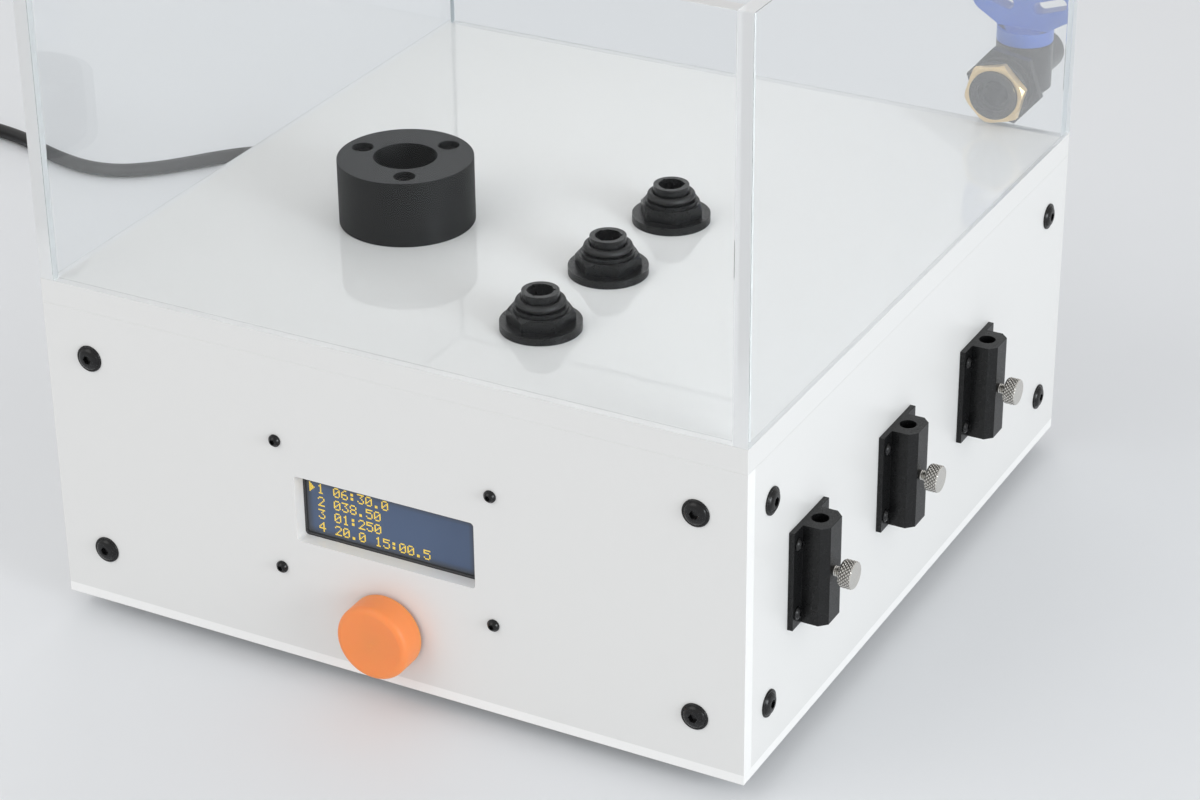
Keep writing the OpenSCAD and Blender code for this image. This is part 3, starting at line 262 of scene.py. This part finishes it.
def finish(name, colour, rough, grain, bump, spread, **sockets):
    """A surface whose colour, roughness and relief follow noise at its own grain.

    The grain is in waves per metre, and the bump in micrometres.
    """
    material, tree, shader, _ = new_material(name)
    grain_colour(tree, shader, colour, grain, spread)
    fine = grain_rough(tree, shader, rough, grain)
    if bump:
        add_bump(tree, shader, fine, bump * MICRON)
    set_sockets(shader, **sockets)
    return material


# Acrylic: white sheets, clear sheets, and how a face turns into a cut edge
ACRYLIC_INDEX = 1.49
FACE_TURN = (0.8, 0.95)
WHITE = (0.80, 0.80, 0.79)
WHITE_SPREAD = 0.003
# Painted light: the cut edges are paler than the faces to stand in for the glow of light scattered through
# the sheet to its edges
CUT_EDGE_PAINTED_GLOW = (0.94, 0.94, 0.93)
SATIN = (0.30, 0.31)
SATIN_GRAIN = 60
DECK_ROUGH = 0.016
DECK_SHINE = 0.22
EDGE_ROUGH = 0.3
EDGE_CLEAR = 0.22
CLEAR_ROUGH = 0.004
CLEAR_TINT = (0.975, 0.985, 0.99)
SHADOW_TINT = (0.97, 0.98, 0.985)


def clear_sheet(name, across, clear, glint, edge):
    """Clear acrylic sheet, square to x or y, with pale sawn edges whose colour is partly painted light;
    lamps shine through it.

    Its lower edge is glued to the deck, so it is as clear as the sheet's faces.
    """
    material, tree, shader, output = new_material(name)
    normal = coordinates(tree, "Normal")
    downwards = math_node(tree, "MULTIPLY", normal[2], -1.0)
    facing = math_node(tree, "MAXIMUM", math_node(tree, "ABSOLUTE", normal[across]), downwards)
    tree.links.new(ramp(tree, facing, edge, CLEAR_TINT, FACE_TURN), shader.inputs["Base Color"])
    tree.links.new(ramp(tree, facing, EDGE_CLEAR, clear, FACE_TURN), shader.inputs["Transmission Weight"])
    tree.links.new(ramp(tree, facing, EDGE_ROUGH, CLEAR_ROUGH, FACE_TURN), shader.inputs["Roughness"])
    set_sockets(shader, IOR=ACRYLIC_INDEX, Specular_Tint=(glint, glint, glint, 1))
    through = tree.nodes.new("ShaderNodeBsdfTransparent")
    through.inputs["Color"].default_value = (*SHADOW_TINT, 1)
    mix_by_ray(tree, "Is Shadow Ray", shader, through, output)
    return material


def cut_acrylic(name, across):
    """White acrylic sheet, square to an axis, whose cut edges are painted paler than its faces: painted
    light for the glow of light scattered through the sheet.
    """
    material, tree, shader, _ = new_material(name)
    facing = math_node(tree, "ABSOLUTE", coordinates(tree, "Normal")[across])
    tree.links.new(ramp(tree, facing, CUT_EDGE_PAINTED_GLOW, WHITE, FACE_TURN), shader.inputs["Base Color"])
    grain_rough(tree, shader, SATIN, SATIN_GRAIN)
    set_sockets(shader, IOR=ACRYLIC_INDEX)
    return material


def polished_deck():
    """White acrylic with a polished top and satin edges."""
    material, tree, shader, _ = new_material("polished_acrylic")
    grain_colour(tree, shader, WHITE, SATIN_GRAIN, WHITE_SPREAD)
    upwards = coordinates(tree, "Normal")[2]
    tree.links.new(ramp(tree, upwards, EDGE_ROUGH, DECK_ROUGH, FACE_TURN), shader.inputs["Roughness"])
    set_sockets(shader, IOR=ACRYLIC_INDEX, Specular_IOR_Level=DECK_SHINE)
    return material


# Display glass
DISPLAY_FIELD = (0.078, 0.12, 0.215)
DISPLAY_BORDER = (0.07, 0.072, 0.075)
GLASS_ROUGH = (0.08, 0.14)
GLASS_GRAIN = 200


def display_face():
    """Blue-grey display, which fades to a dark border outside its rows of figures."""
    material, tree, shader, _ = new_material("display_blue")
    x, _, z = coordinates(tree, "Object")
    left, right, bottom, top = rows_box()
    inside = 1.0
    for place, edge, inwards in ((x, left, 1), (x, right, -1), (z, bottom, 1), (z, top, -1)):
        fade = (edge - inwards * BORDER_FADE, edge + inwards * BORDER_FADE)
        inside = math_node(tree, "MULTIPLY", ramp(tree, place, 0.0, 1.0, fade), inside)
    tree.links.new(ramp(tree, inside, DISPLAY_BORDER, DISPLAY_FIELD, FULL_SPAN), shader.inputs["Base Color"])
    tree.links.new(ramp(tree, noise_node(tree, GLASS_GRAIN), *GLASS_ROUGH), shader.inputs["Roughness"])
    return material


# Turned block: dark side, and a top painted paler as a painted reflection
MOUNT_SIDE = (0.005, 0.0053, 0.0055)
# Painted reflection: the top's paler colour stands in for the bright surroundings it reflects at a grazing
# angle
MOUNT_TOP_PAINTED_REFLECTION = (0.04, 0.041, 0.043)
MOUNT_TURN = (0.6, 0.95)
MOUNT_ROUGH = (0.5, 0.62)
MOUNT_GRAIN = 2600
MOUNT_BUMP = 20 * MICRON
MOUNT_SHINE = 0.3


def turned_mount():
    """A black turned block whose top is painted paler than its side, as a painted reflection."""
    material, tree, shader, _ = new_material("turned_mount")
    upwards = coordinates(tree, "Normal")[2]
    tree.links.new(ramp(tree, upwards, MOUNT_SIDE, MOUNT_TOP_PAINTED_REFLECTION, MOUNT_TURN), shader.inputs["Base Color"])
    fine = grain_rough(tree, shader, MOUNT_ROUGH, MOUNT_GRAIN)
    add_bump(tree, shader, fine, MOUNT_BUMP)
    set_sockets(shader, Specular_IOR_Level=MOUNT_SHINE)
    return material


# Finishes by slot: colour, roughness, grain, bump and spread of the colour
MATERIALS = {
    "white_acrylic": finish("white_acrylic", WHITE, SATIN, SATIN_GRAIN, 0, WHITE_SPREAD, IOR=ACRYLIC_INDEX),
    "clear_acrylic": clear_sheet("clear_acrylic", 1, clear=1.0, glint=0.05, edge=(0.83, 0.83, 0.825)),
    "black_anodised": finish("black_anodised", (0.004, 0.0042, 0.0045), (0.42, 0.55), 2600, 20, 0.15,
                             Specular_IOR_Level=0.07),
    "black_nylon": finish("black_nylon", (0.007, 0.0072, 0.0075), (0.24, 0.36), 1900, 8, 0.1,
                          Specular_IOR_Level=0.3),
    "black_screw": finish("black_screw", (0.004, 0.004, 0.0044), (0.2, 0.32), 1500, 8, 0.1,
                          Specular_IOR_Level=0.4),
    "nickel": finish("nickel", (0.62, 0.60, 0.56), (0.2, 0.28), 1800, 2, 0.04, Metallic=1.0),
    "steel": finish("steel", (0.58, 0.58, 0.58), (0.26, 0.42), 900, 8, 0.05, Metallic=1.0),
    "brass": finish("brass", (0.86, 0.64, 0.33), (0.3, 0.45), 900, 10, 0.06, Metallic=1.0),
    "rubber": finish("rubber", (0.013, 0.013, 0.013), (0.34, 0.5), 1500, 20, 0.1, Specular_IOR_Level=0.4),
    "orange_plastic": finish("orange_plastic", (0.98, 0.30, 0.085), (0.4, 0.5), 700, 10, 0.02,
                             Subsurface_Weight=0.5, Subsurface_Radius=(1.0, 0.4, 0.15),
                             Subsurface_Scale=0.005),
    "blue_plastic": finish("blue_plastic", (0.03, 0.13, 0.55), (0.28, 0.36), 700, 4, 0.03),
    "circuit_board": finish("circuit_board", (0.02, 0.17, 0.08), (0.3, 0.45), 500, 20, 0.1),
    "display_blue": display_face(),
    "white_nylon": finish("white_nylon", (0.76, 0.75, 0.71), (0.4, 0.55), 900, 20, 0.02),
    "cord_sheath": finish("cord_sheath", (0.014, 0.014, 0.0145), (0.38, 0.52), 1400, 30, 0.12),
    "grey_plastic": finish("grey_plastic", (0.22, 0.235, 0.26), (0.4, 0.55), 900, 30, 0.05),
    "clear_hose": finish("clear_hose", (0.7, 0.72, 0.73), (0.2, 0.3), 300, 0, 0.03),
}

# Nodes whose finish isn't their slot's
# The clear sheets' edge colours are partly the pale sawn edge and partly painted light and shade: palest on
# the side walls, darkest on the rear wall
SIDE_WALL = clear_sheet("clear_acrylic_side", 0, clear=0.97, glint=1.0, edge=(0.87, 0.88, 0.885))
OWN_FINISH = {
    "tank_left_wall": SIDE_WALL,
    "tank_right_wall": SIDE_WALL,
    "tank_rear_wall": clear_sheet("clear_acrylic_rear", 1, clear=1.0, glint=0.05, edge=(0.70, 0.71, 0.715)),
    "deck_plate": polished_deck(),
    "front_panel": cut_acrylic("front_acrylic", 1),
    "bottom_plate": cut_acrylic("bottom_acrylic", 2),
    "display_frame": finish("painted_steel", (0.06, 0.061, 0.064), (0.4, 0.5), 900, 10, 0.05),
    "column_mount": turned_mount(),
}


# Mains lead: the route's points in millimetres, as the part's own solids have them
CORD_DIAMETER = 7 * MM
CORD_ROUNDNESS = 6
CORD_ROUTE = [
    (-100, 196, 44), (-100, 210, 44), (-101, 224, 42), (-105, 237, 37.5), (-113, 248, 31),
    (-125, 257, 23.5), (-140, 263, 16), (-157, 266, 9.5), (-175, 267, 5), (-194, 267, 3.6),
    (-214, 266, 3.6), (-234, 264, 3.6), (-254, 262, 3.6), (-274, 260, 3.6), (-294, 257, 3.6),
    (-314, 253, 3.6), (-332, 246, 3.6), (-347, 236, 3.6), (-359, 223, 3.6), (-369, 210, 3.6),
    (-380, 198, 3.6), (-394, 188, 3.6), (-411, 184.5, 3.6), (-429, 187, 3.6), (-446, 192, 3.6),
    (-463, 197, 3.7), (-480, 199.5, 3.9), (-498, 200, 4.3), (-512, 200, 4.6), (-525, 200, 4.6),
]
CORD_TAIL = [
    (-580, 145, 12.2), (-580, 137, 13), (-580, 128, 15), (-580, 119, 17.4), (-580, 110, 18.6),
    (-580, 102, 18.6),
]
COIL_MIDDLE = (-532, 152)
COIL_START = 0.25
COIL_TURNS = 5.25
COIL_INNER = 28
COIL_PITCH = 7.62
COIL_LOW = 4.6
COIL_STEP = 7.6
COIL_CLIMB = 0.5
COIL_POINTS = 48
ROUTE_STEPS = 4


def coil_point(turn):
    """A point of the coil, which winds in, climbs to its upper layer and winds out."""
    past_middle = turn - COIL_TURNS / 2
    radius = COIL_INNER + COIL_PITCH * abs(past_middle)
    climb = min(max(past_middle / COIL_CLIMB + 0.5, 0), 1)
    angle = math.tau * (turn + COIL_START)
    return (COIL_MIDDLE[0] + radius * math.cos(angle), COIL_MIDDLE[1] + radius * math.sin(angle),
            COIL_LOW + COIL_STEP * climb)


def smooth_line(points, steps):
    """A Catmull-Rom line through the points."""
    line = []
    for i in range(len(points) - 1):
        a, b, c, d = (Vector(points[min(max(k, 0), len(points) - 1)]) for k in range(i - 1, i + 3))
        for s in range(steps):
            t = s / steps
            line.append(0.5 * (2 * b + (c - a) * t + (2 * a - 5 * b + 4 * c - d) * t ** 2
                               + (3 * b - a - 3 * c + d) * t ** 3))
    return line + [Vector(points[-1])]


def make_cord():
    """The whole lead as one open curve: the run, the coil and the tail to the plug."""
    coil = [Vector(coil_point(k / COIL_POINTS)) for k in range(int(COIL_TURNS * COIL_POINTS) + 1)]
    line = smooth_line(CORD_ROUTE, ROUTE_STEPS) + coil + smooth_line(CORD_TAIL, ROUTE_STEPS)
    furthest = max(p[1] for p in CORD_ROUTE)
    line = [Vector((p.x, min(p.y, furthest), p.z)) * MM for p in line]
    data = bpy.data.curves.new("mains_lead", "CURVE")
    data.dimensions = "3D"
    data.bevel_depth = CORD_DIAMETER / 2
    data.bevel_resolution = CORD_ROUNDNESS
    data.use_fill_caps = True
    spline = data.splines.new("POLY")
    spline.points.add(len(line) - 1)
    for point, place in zip(spline.points, line):
        point.co = (*place, 1)
    lead = bpy.data.objects.new("mains_lead", data)
    scene.collection.objects.link(lead)
    length = sum((b - a).length for a, b in zip(line, line[1:]))
    place_piece(lead, "base", "cord_sheath", MATERIALS["cord_sheath"], "cord_run", "cord_coil")
    return lead, line[0], length


lead, lead_exit, lead_length = make_cord()


# Coil tie: a woven strap around the coil's bundle
STRAP_THICK = 0.8 * MM
STRAP_THINNED = 0.15 * STRAP_THICK
STRAP_CORNER = 3.8 * MM
STRAP_CORNER_STEPS = 10
STRAP_STEPS = 12
WEAVE_DEPTH = 0.12 * MM
WEAVE_SCALE = 260
WEAVE_WANDER = 1.2
WEAVE_DARK = (0.008, 0.008, 0.008)
WEAVE_PALE = (0.03, 0.03, 0.031)
WEAVE_SPAN = (0.1, 0.9)
WEAVE_ROUGH = 0.8
WEAVE_SHEEN = 0.3


def strap_material():
    """Black woven webbing with ribs across the strap."""
    material, tree, shader, _ = new_material("woven_strap")
    place = tree.nodes.new("ShaderNodeTexCoord")
    wave = tree.nodes.new("ShaderNodeTexWave")
    wave.wave_type = "BANDS"
    wave.bands_direction = "X"
    wave.inputs["Scale"].default_value = WEAVE_SCALE
    wave.inputs["Distortion"].default_value = WEAVE_WANDER
    tree.links.new(place.outputs["Object"], wave.inputs["Vector"])
    ribs = wave.outputs["Fac"]
    tree.links.new(ramp(tree, ribs, WEAVE_DARK, WEAVE_PALE, WEAVE_SPAN), shader.inputs["Base Color"])
    set_sockets(shader, Roughness=WEAVE_ROUGH, Sheen_Weight=WEAVE_SHEEN)
    add_bump(tree, shader, ribs, WEAVE_DEPTH)
    return material


def strap_line(half_y, half_z):
    """Points of a rounded rectangle in the y-z plane, each with its outward direction."""
    line = []
    for k, (sy, sz) in enumerate(((1, 1), (-1, 1), (-1, -1), (1, -1))):
        centre = Vector((0, sy * (half_y - STRAP_CORNER), sz * (half_z - STRAP_CORNER)))
        for s in range(STRAP_CORNER_STEPS + 1):
            angle = math.pi / 2 * (k + s / STRAP_CORNER_STEPS)
            out = Vector((0, math.cos(angle), math.sin(angle)))
            line.append((centre + out * STRAP_CORNER, out))
    return line


def strap_section(width):
    """Points around the strap's own section: the place across it and the depth below its outer face."""
    outer, inner = [], []
    for k in range(STRAP_STEPS + 1):
        x = width * (k / STRAP_STEPS - 0.5)
        thinned = STRAP_THINNED if k in (0, STRAP_STEPS) else 0
        outer.append((x, thinned))
        inner.append((x, STRAP_THICK - thinned))
    return outer + inner[::-1]


def make_strap():
    """A closed loop of webbing, where the CAD tie is."""
    low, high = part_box("coil_tie")
    middle = (low + high) / 2
    line = strap_line((high.y - low.y) / 2, (high.z - low.z) / 2)
    section = strap_section(high.x - low.x)
    ring = len(section)
    points, faces = [], []
    for i, (place, out) in enumerate(line):
        points += [middle + place - out * depth + Vector((x, 0, 0)) for x, depth in section]
        here = i * ring
        after = (i + 1) % len(line) * ring
        for k in range(ring):
            beside = (k + 1) % ring
            faces.append((here + k, here + beside, after + beside, after + k))
    strap = add_mesh("coil_strap", points, faces)
    return place_piece(strap, "base", "rubber", strap_material(), "coil_tie")


strap = make_strap()


# CAD nodes: softened edges and materials
EDGES_MM = {
    "white_acrylic": 0.22, "clear_acrylic": 0.25, "black_anodised": 0.4, "black_nylon": 0.3,
    "black_screw": 0.2, "brass": 0.3, "blue_plastic": 0.6, "cord_sheath": 0.8, "steel": 0.2,
    "grey_plastic": 0.5, "rubber": 0.25, "nickel": 0.15,
}
BEVEL_ANGLE = math.radians(32)
BEVEL_STEPS = 2
FLAT_ANGLE = math.radians(0.2)
WELD = 2 * MICRON


def soften(obj, width):
    """Round the edges of a CAD node with modifiers, and leave its mesh as it is."""
    weld = obj.modifiers.new("weld", "WELD")
    weld.merge_threshold = WELD
    flat = obj.modifiers.new("flat", "DECIMATE")
    flat.decimate_type = "DISSOLVE"
    flat.angle_limit = FLAT_ANGLE
    bevel = obj.modifiers.new("bevel", "BEVEL")
    bevel.width = width
    bevel.segments = BEVEL_STEPS
    bevel.limit_method = "ANGLE"
    bevel.angle_limit = BEVEL_ANGLE
    bevel.miter_outer = "MITER_ARC"
    shade = obj.modifiers.new("shade", "WEIGHTED_NORMAL")
    shade.keep_sharp = True


def dress_nodes():
    """Give each CAD node its finish and, where its slot has them, softened edges."""
    slots = {part["node"]: part["material_slot"] for part in frame["record"]["subparts"]}
    for name, node in nodes.items():
        slot = slots[name]
        for place in node.material_slots:
            place.material = OWN_FINISH.get(name, MATERIALS[slot])
        if slot in EDGES_MM and not node.hide_render:
            soften(node, EDGES_MM[slot] * MM)


dress_nodes()


# Thumb screws: knurled heads on threaded stems
THUMB_SCREWS = (1, 2, 3)
KNURLS = 22
KNURL_SIDES = 6
KNURL_RINGS = 30
KNURL_DEPTH = 0.5 * MM
KNURL_ROUNDING = 0.7
KNURL_PALE = (0.72, 0.70, 0.66)
# Painted shade: the knurl's grooves are darkened by their depth, standing in for the shade that falls in
# them
KNURL_PAINTED_SHADE = (0.04, 0.038, 0.035)
KNURL_SPAN = (0.4, 0.9)
KNURL_ROUGH = (0.2, 0.28)
KNURL_GRAIN = 1800
THREAD_PITCH = 0.7 * MM
THREAD_DEPTH = 0.22 * MM
HEAD_LENGTH = 5 * MM
HEAD_EDGE = 0.5 * MM
HEAD_RIM = 0.8 * MM
DISH_EDGE = 1.1 * MM
DISH_DEPTH = 0.12 * MM
STEM_RADIUS = 2 * MM
BORE_RADIUS = 1.05 * MM
BORE_DEPTH = 2.9 * MM
CLOSING_RADIUS = 0.02 * MM


def saw(value):
    """A triangle wave from 0 to 1."""
    return 1 - abs(2 * (value % 1) - 1)


def knurled_nickel():
    """Nickel with painted shade in the grooves, whose depth from 0 to 1 is the mesh's own attribute."""
    material, tree, shader, _ = new_material("knurled_nickel")
    groove = tree.nodes.new("ShaderNodeAttribute")
    groove.attribute_name = "groove"
    shades = ramp(tree, groove.outputs["Fac"], KNURL_PALE, KNURL_PAINTED_SHADE, KNURL_SPAN)
    tree.links.new(shades, shader.inputs["Base Color"])
    tree.links.new(ramp(tree, noise_node(tree, KNURL_GRAIN), *KNURL_ROUGH), shader.inputs["Roughness"])
    set_sockets(shader, Metallic=1.0)
    return material


def thumb_rings(start, end, radius):
    """Place along x and radius of each ring of a thumb screw: bore, thread, head and dished end."""
    head = end - HEAD_LENGTH
    root = STEM_RADIUS - THREAD_DEPTH
    rings = [(start + BORE_DEPTH, CLOSING_RADIUS), (start + BORE_DEPTH, BORE_RADIUS),
             (start, BORE_RADIUS), (start, root)]
    for k in range(1, int((head - start) / THREAD_PITCH * 2)):
        rings.append((start + k * THREAD_PITCH / 2, root if k % 2 else STEM_RADIUS))
    rings += [(head, root), (head, radius - HEAD_EDGE)]
    for k in range(KNURL_RINGS + 1):
        rings.append((head + HEAD_EDGE + (HEAD_LENGTH - 2 * HEAD_EDGE) * k / KNURL_RINGS, radius))
    rings += [(end, radius - HEAD_EDGE), (end, radius - HEAD_RIM),
              (end - DISH_DEPTH, radius - DISH_EDGE), (end - DISH_DEPTH, CLOSING_RADIUS)]
    return rings


def knurl_depth(share, along):
    """Depth of the diamond knurl at a share of a turn, and at a distance along in knurls."""
    ridge = min(saw(KNURLS * share + along), saw(KNURLS * share - along))
    return KNURL_DEPTH * (1 - ridge ** KNURL_ROUNDING)


def make_thumb_screw(index, material):
    """A screw on the x axis of its CAD node, knurled where it has the head's full radius."""
    node = f"thumb_screw_{index}"
    low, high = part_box(node)
    middle = (low + high) / 2
    radius = (high.y - low.y) / 2
    pitch = math.tau * radius / KNURLS
    sides = KNURLS * KNURL_SIDES
    rings = thumb_rings(low.x, high.x, radius)
    points, grooves = [], []
    for x, r in rings:
        along = (x - high.x + HEAD_LENGTH) / pitch
        for k in range(sides):
            share = k / sides
            depth = knurl_depth(share, along) if r == radius else 0
            angle = math.tau * share
            y = middle.y + (r - depth) * math.cos(angle)
            z = middle.z + (r - depth) * math.sin(angle)
            points.append((x, y, z))
            grooves.append(depth / KNURL_DEPTH)
    screw = add_mesh(f"knurled_screw_{index}", points, tube_faces(0, len(rings), sides), smooth=False)
    screw.data.attributes.new("groove", "FLOAT", "POINT").data.foreach_set("value", grooves)
    return place_piece(screw, f"thumb_{index}", "nickel", material, node)


knurled = knurled_nickel()
for index in THUMB_SCREWS:
    make_thumb_screw(index, knurled)


# Panel screws: low flanged heads with hexagon sockets; the profile is distance along and radius
SCREW_INSET = 20 * MM
SCREW_SIDES = 48
SCREW_PROFILE_MM = (
    (-14, 2.2), (-13.6, 2.5), (0, 2.5), (0, 5.45), (0.35, 5.45), (0.6, 5.35), (0.74, 5.1), (0.76, 4.8),
    (0.68, 4.6), (0.85, 4.45), (1.2, 4.2), (1.55, 3.65), (1.8, 2.9), (1.9, 2.2),
)
SOCKET_FLAT = 1.6 * MM
SOCKET_LOW = 0.6 * MM
CREASE = math.radians(50)


def screw_places():
    """The point on the panels' outer faces and the outward direction of each panel screw."""
    low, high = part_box("front_panel")
    front, rear = low.y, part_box("rear_panel")[1].y
    places = []
    for z in (low.z + SCREW_INSET, high.z - SCREW_INSET):
        for x in (low.x + SCREW_INSET, high.x - SCREW_INSET):
            places.append((Vector((x, front, z)), Vector((0, -1, 0))))
            places.append((Vector((x, rear, z)), Vector((0, 1, 0))))
        for y in (front + SCREW_INSET, rear - SCREW_INSET):
            places.append((Vector((low.x, y, z)), Vector((-1, 0, 0))))
            places.append((Vector((high.x, y, z)), Vector((1, 0, 0))))
    return places


def socket_radius(angle):
    """The radius of a hexagon with flats SOCKET_FLAT from its middle."""
    sixth = math.tau / 6
    return SOCKET_FLAT / math.cos((angle % sixth) - sixth / 2)


def make_panel_screws():
    """All the panel screws as one piece: each a turned head and shank with a hexagon socket."""
    angles = [math.tau * k / SCREW_SIDES for k in range(SCREW_SIDES)]
    rings = [(along * MM, [radius * MM] * SCREW_SIDES) for along, radius in SCREW_PROFILE_MM]
    socket = [socket_radius(angle) for angle in angles]
    rings += [(rings[-1][0], socket), (SOCKET_LOW, socket)]
    up = Vector((0, 0, 1))
    points, faces = [], []
    for place, out in screw_places():
        across = up.cross(out)
        faces += tube_faces(len(points), len(rings), SCREW_SIDES)
        for along, radii in rings:
            for angle, radius in zip(angles, radii):
                spoke = across * math.cos(angle) + up * math.sin(angle)
                points.append(place + out * along + spoke * radius)
    screws = add_mesh("panel_screw_set", points, faces)
    screws.data.set_sharp_from_angle(angle=CREASE)
    return place_piece(screws, "base", "black_screw", MATERIALS["black_screw"], "panel_screws")


make_panel_screws()


# Display figures on the glass: each line of dots is a number whose bits are the lit dots
FIGURES = {
    "0": (14, 17, 19, 21, 25, 17, 14), "1": (4, 12, 4, 4, 4, 4, 14), "2": (14, 17, 1, 2, 4, 8, 31),
    "3": (31, 2, 4, 2, 1, 17, 14), "4": (2, 6, 10, 18, 31, 2, 2), "5": (31, 16, 30, 1, 1, 17, 14),
    "6": (6, 8, 16, 30, 17, 17, 14), "8": (14, 17, 17, 14, 17, 17, 14), ":": (0, 12, 12, 0, 12, 12, 0),
    ".": (0, 0, 0, 0, 0, 12, 12), ">": (16, 24, 28, 30, 28, 24, 16), " ": (0, 0, 0, 0, 0, 0, 0),
}
DISPLAY_ROWS = (">1 06:30.0", " 2 038.50", " 3 01:250", " 4 20.0 15:00.5")
DOT_FACES = ((3, 2, 1, 0), (4, 5, 6, 7), (1, 5, 4, 0), (2, 6, 5, 1), (3, 7, 6, 2), (0, 4, 7, 3))
FIGURE_COLOUR = (0.78, 0.56, 0.08)
FIGURE_GLOW = (0.8, 0.56, 0.08, 1)
FIGURE_GLOW_STRENGTH = 0.45


def lit_dots():
    """Left and top of each lit dot in the rows of figures."""
    left, _, _, top = rows_box()
    for row, text in enumerate(DISPLAY_ROWS):
        for column, figure in enumerate(text):
            for line, bits in enumerate(FIGURES[figure]):
                for dot in range(DOT_COLUMNS):
                    if bits >> (DOT_COLUMNS - 1 - dot) & 1:
                        yield (left + column * FIGURE_PITCH + dot * DOT_PITCH,
                               top - row * ROW_PITCH - line * DOT_PITCH)


def make_figures():
    """Small raised dots, so that the figures are real geometry."""
    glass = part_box("display_glass")[0].y
    points, faces = [], []
    for x, z in lit_dots():
        first = len(points)
        for y in (glass - DOT_PROUD, glass + DOT_PROUD):
            points += [(x, y, z), (x + DOT, y, z), (x + DOT, y, z - DOT), (x, y, z - DOT)]
        faces += [tuple(first + corner for corner in face) for face in DOT_FACES]
    figures = add_mesh("display_figures", points, faces, smooth=False)
    yellow = finish("display_yellow", FIGURE_COLOUR, (0.4, 0.5), 800, 0, 0.03,
                    Emission_Color=FIGURE_GLOW, Emission_Strength=FIGURE_GLOW_STRENGTH)
    return place_piece(figures, "base", "display_blue", yellow)


make_figures()


# Floor, light and world; a lamp is its name, place, target, power, radius and colour
FLOOR_REACH = 6.0
FLOOR_COLOUR = (0.815, 0.83, 0.85)
WORLD_LIGHT = (1.0, 1.0, 1.0)
WORLD_STRENGTH = 0.71
BACKDROP = (0.62, 0.635, 0.65)
LAMP_CONE = math.radians(100)
LAMPS = (
    ("softbox_front", (-0.9, -1.5, 1.3), (0, -0.2, 0), 32, 0.8, (1.0, 0.985, 0.97)),
    ("softbox_back", (-0.8, 1.4, 1.3), (0, 0.1, 0.1), 10, 0.6, (1.0, 1.0, 1.0)),
    ("softbox_right", (2.2, -0.7, 0.6), (0.1, 0, 0.1), 85, 0.5, (0.92, 0.965, 1.0)),
)


def make_floor():
    """A plain pale floor, far larger than the view."""
    corners = [(x * FLOOR_REACH, y * FLOOR_REACH, 0) for x, y in ((-1, -1), (1, -1), (1, 1), (-1, 1))]
    floor = add_mesh("floor", corners, [(0, 1, 2, 3)])
    matt = finish("floor", FLOOR_COLOUR, (0.5, 0.6), 40, 0, 0.01, Specular_IOR_Level=0.3)
    floor.data.materials.append(matt)


def add_lamp(name, place, target, power, radius, colour):
    """A broad spot whose light fades towards the edge of its cone."""
    data = bpy.data.lights.new(name, "SPOT")
    data.energy = power
    data.shadow_soft_size = radius
    data.spot_size = LAMP_CONE
    data.spot_blend = 1.0
    data.color = colour
    lamp = bpy.data.objects.new(name, data)
    scene.collection.objects.link(lamp)
    lamp.location = place
    lamp.rotation_euler = (Vector(target) - Vector(place)).to_track_quat("-Z", "Y").to_euler()


def make_world():
    """Even soft light from all round; the camera sees a pale backdrop."""
    world = bpy.data.worlds.new("world")
    world.use_nodes = True
    tree = world.node_tree
    light = tree.nodes["Background"]
    light.inputs["Color"].default_value = (*WORLD_LIGHT, 1)
    light.inputs["Strength"].default_value = WORLD_STRENGTH
    seen = tree.nodes.new("ShaderNodeBackground")
    seen.inputs["Color"].default_value = (*BACKDROP, 1)
    mix_by_ray(tree, "Is Camera Ray", light, seen, tree.nodes["World Output"])
    scene.world = world


make_floor()
make_world()
for lamp in LAMPS:
    add_lamp(*lamp)
scene.view_settings.view_transform = "Standard"
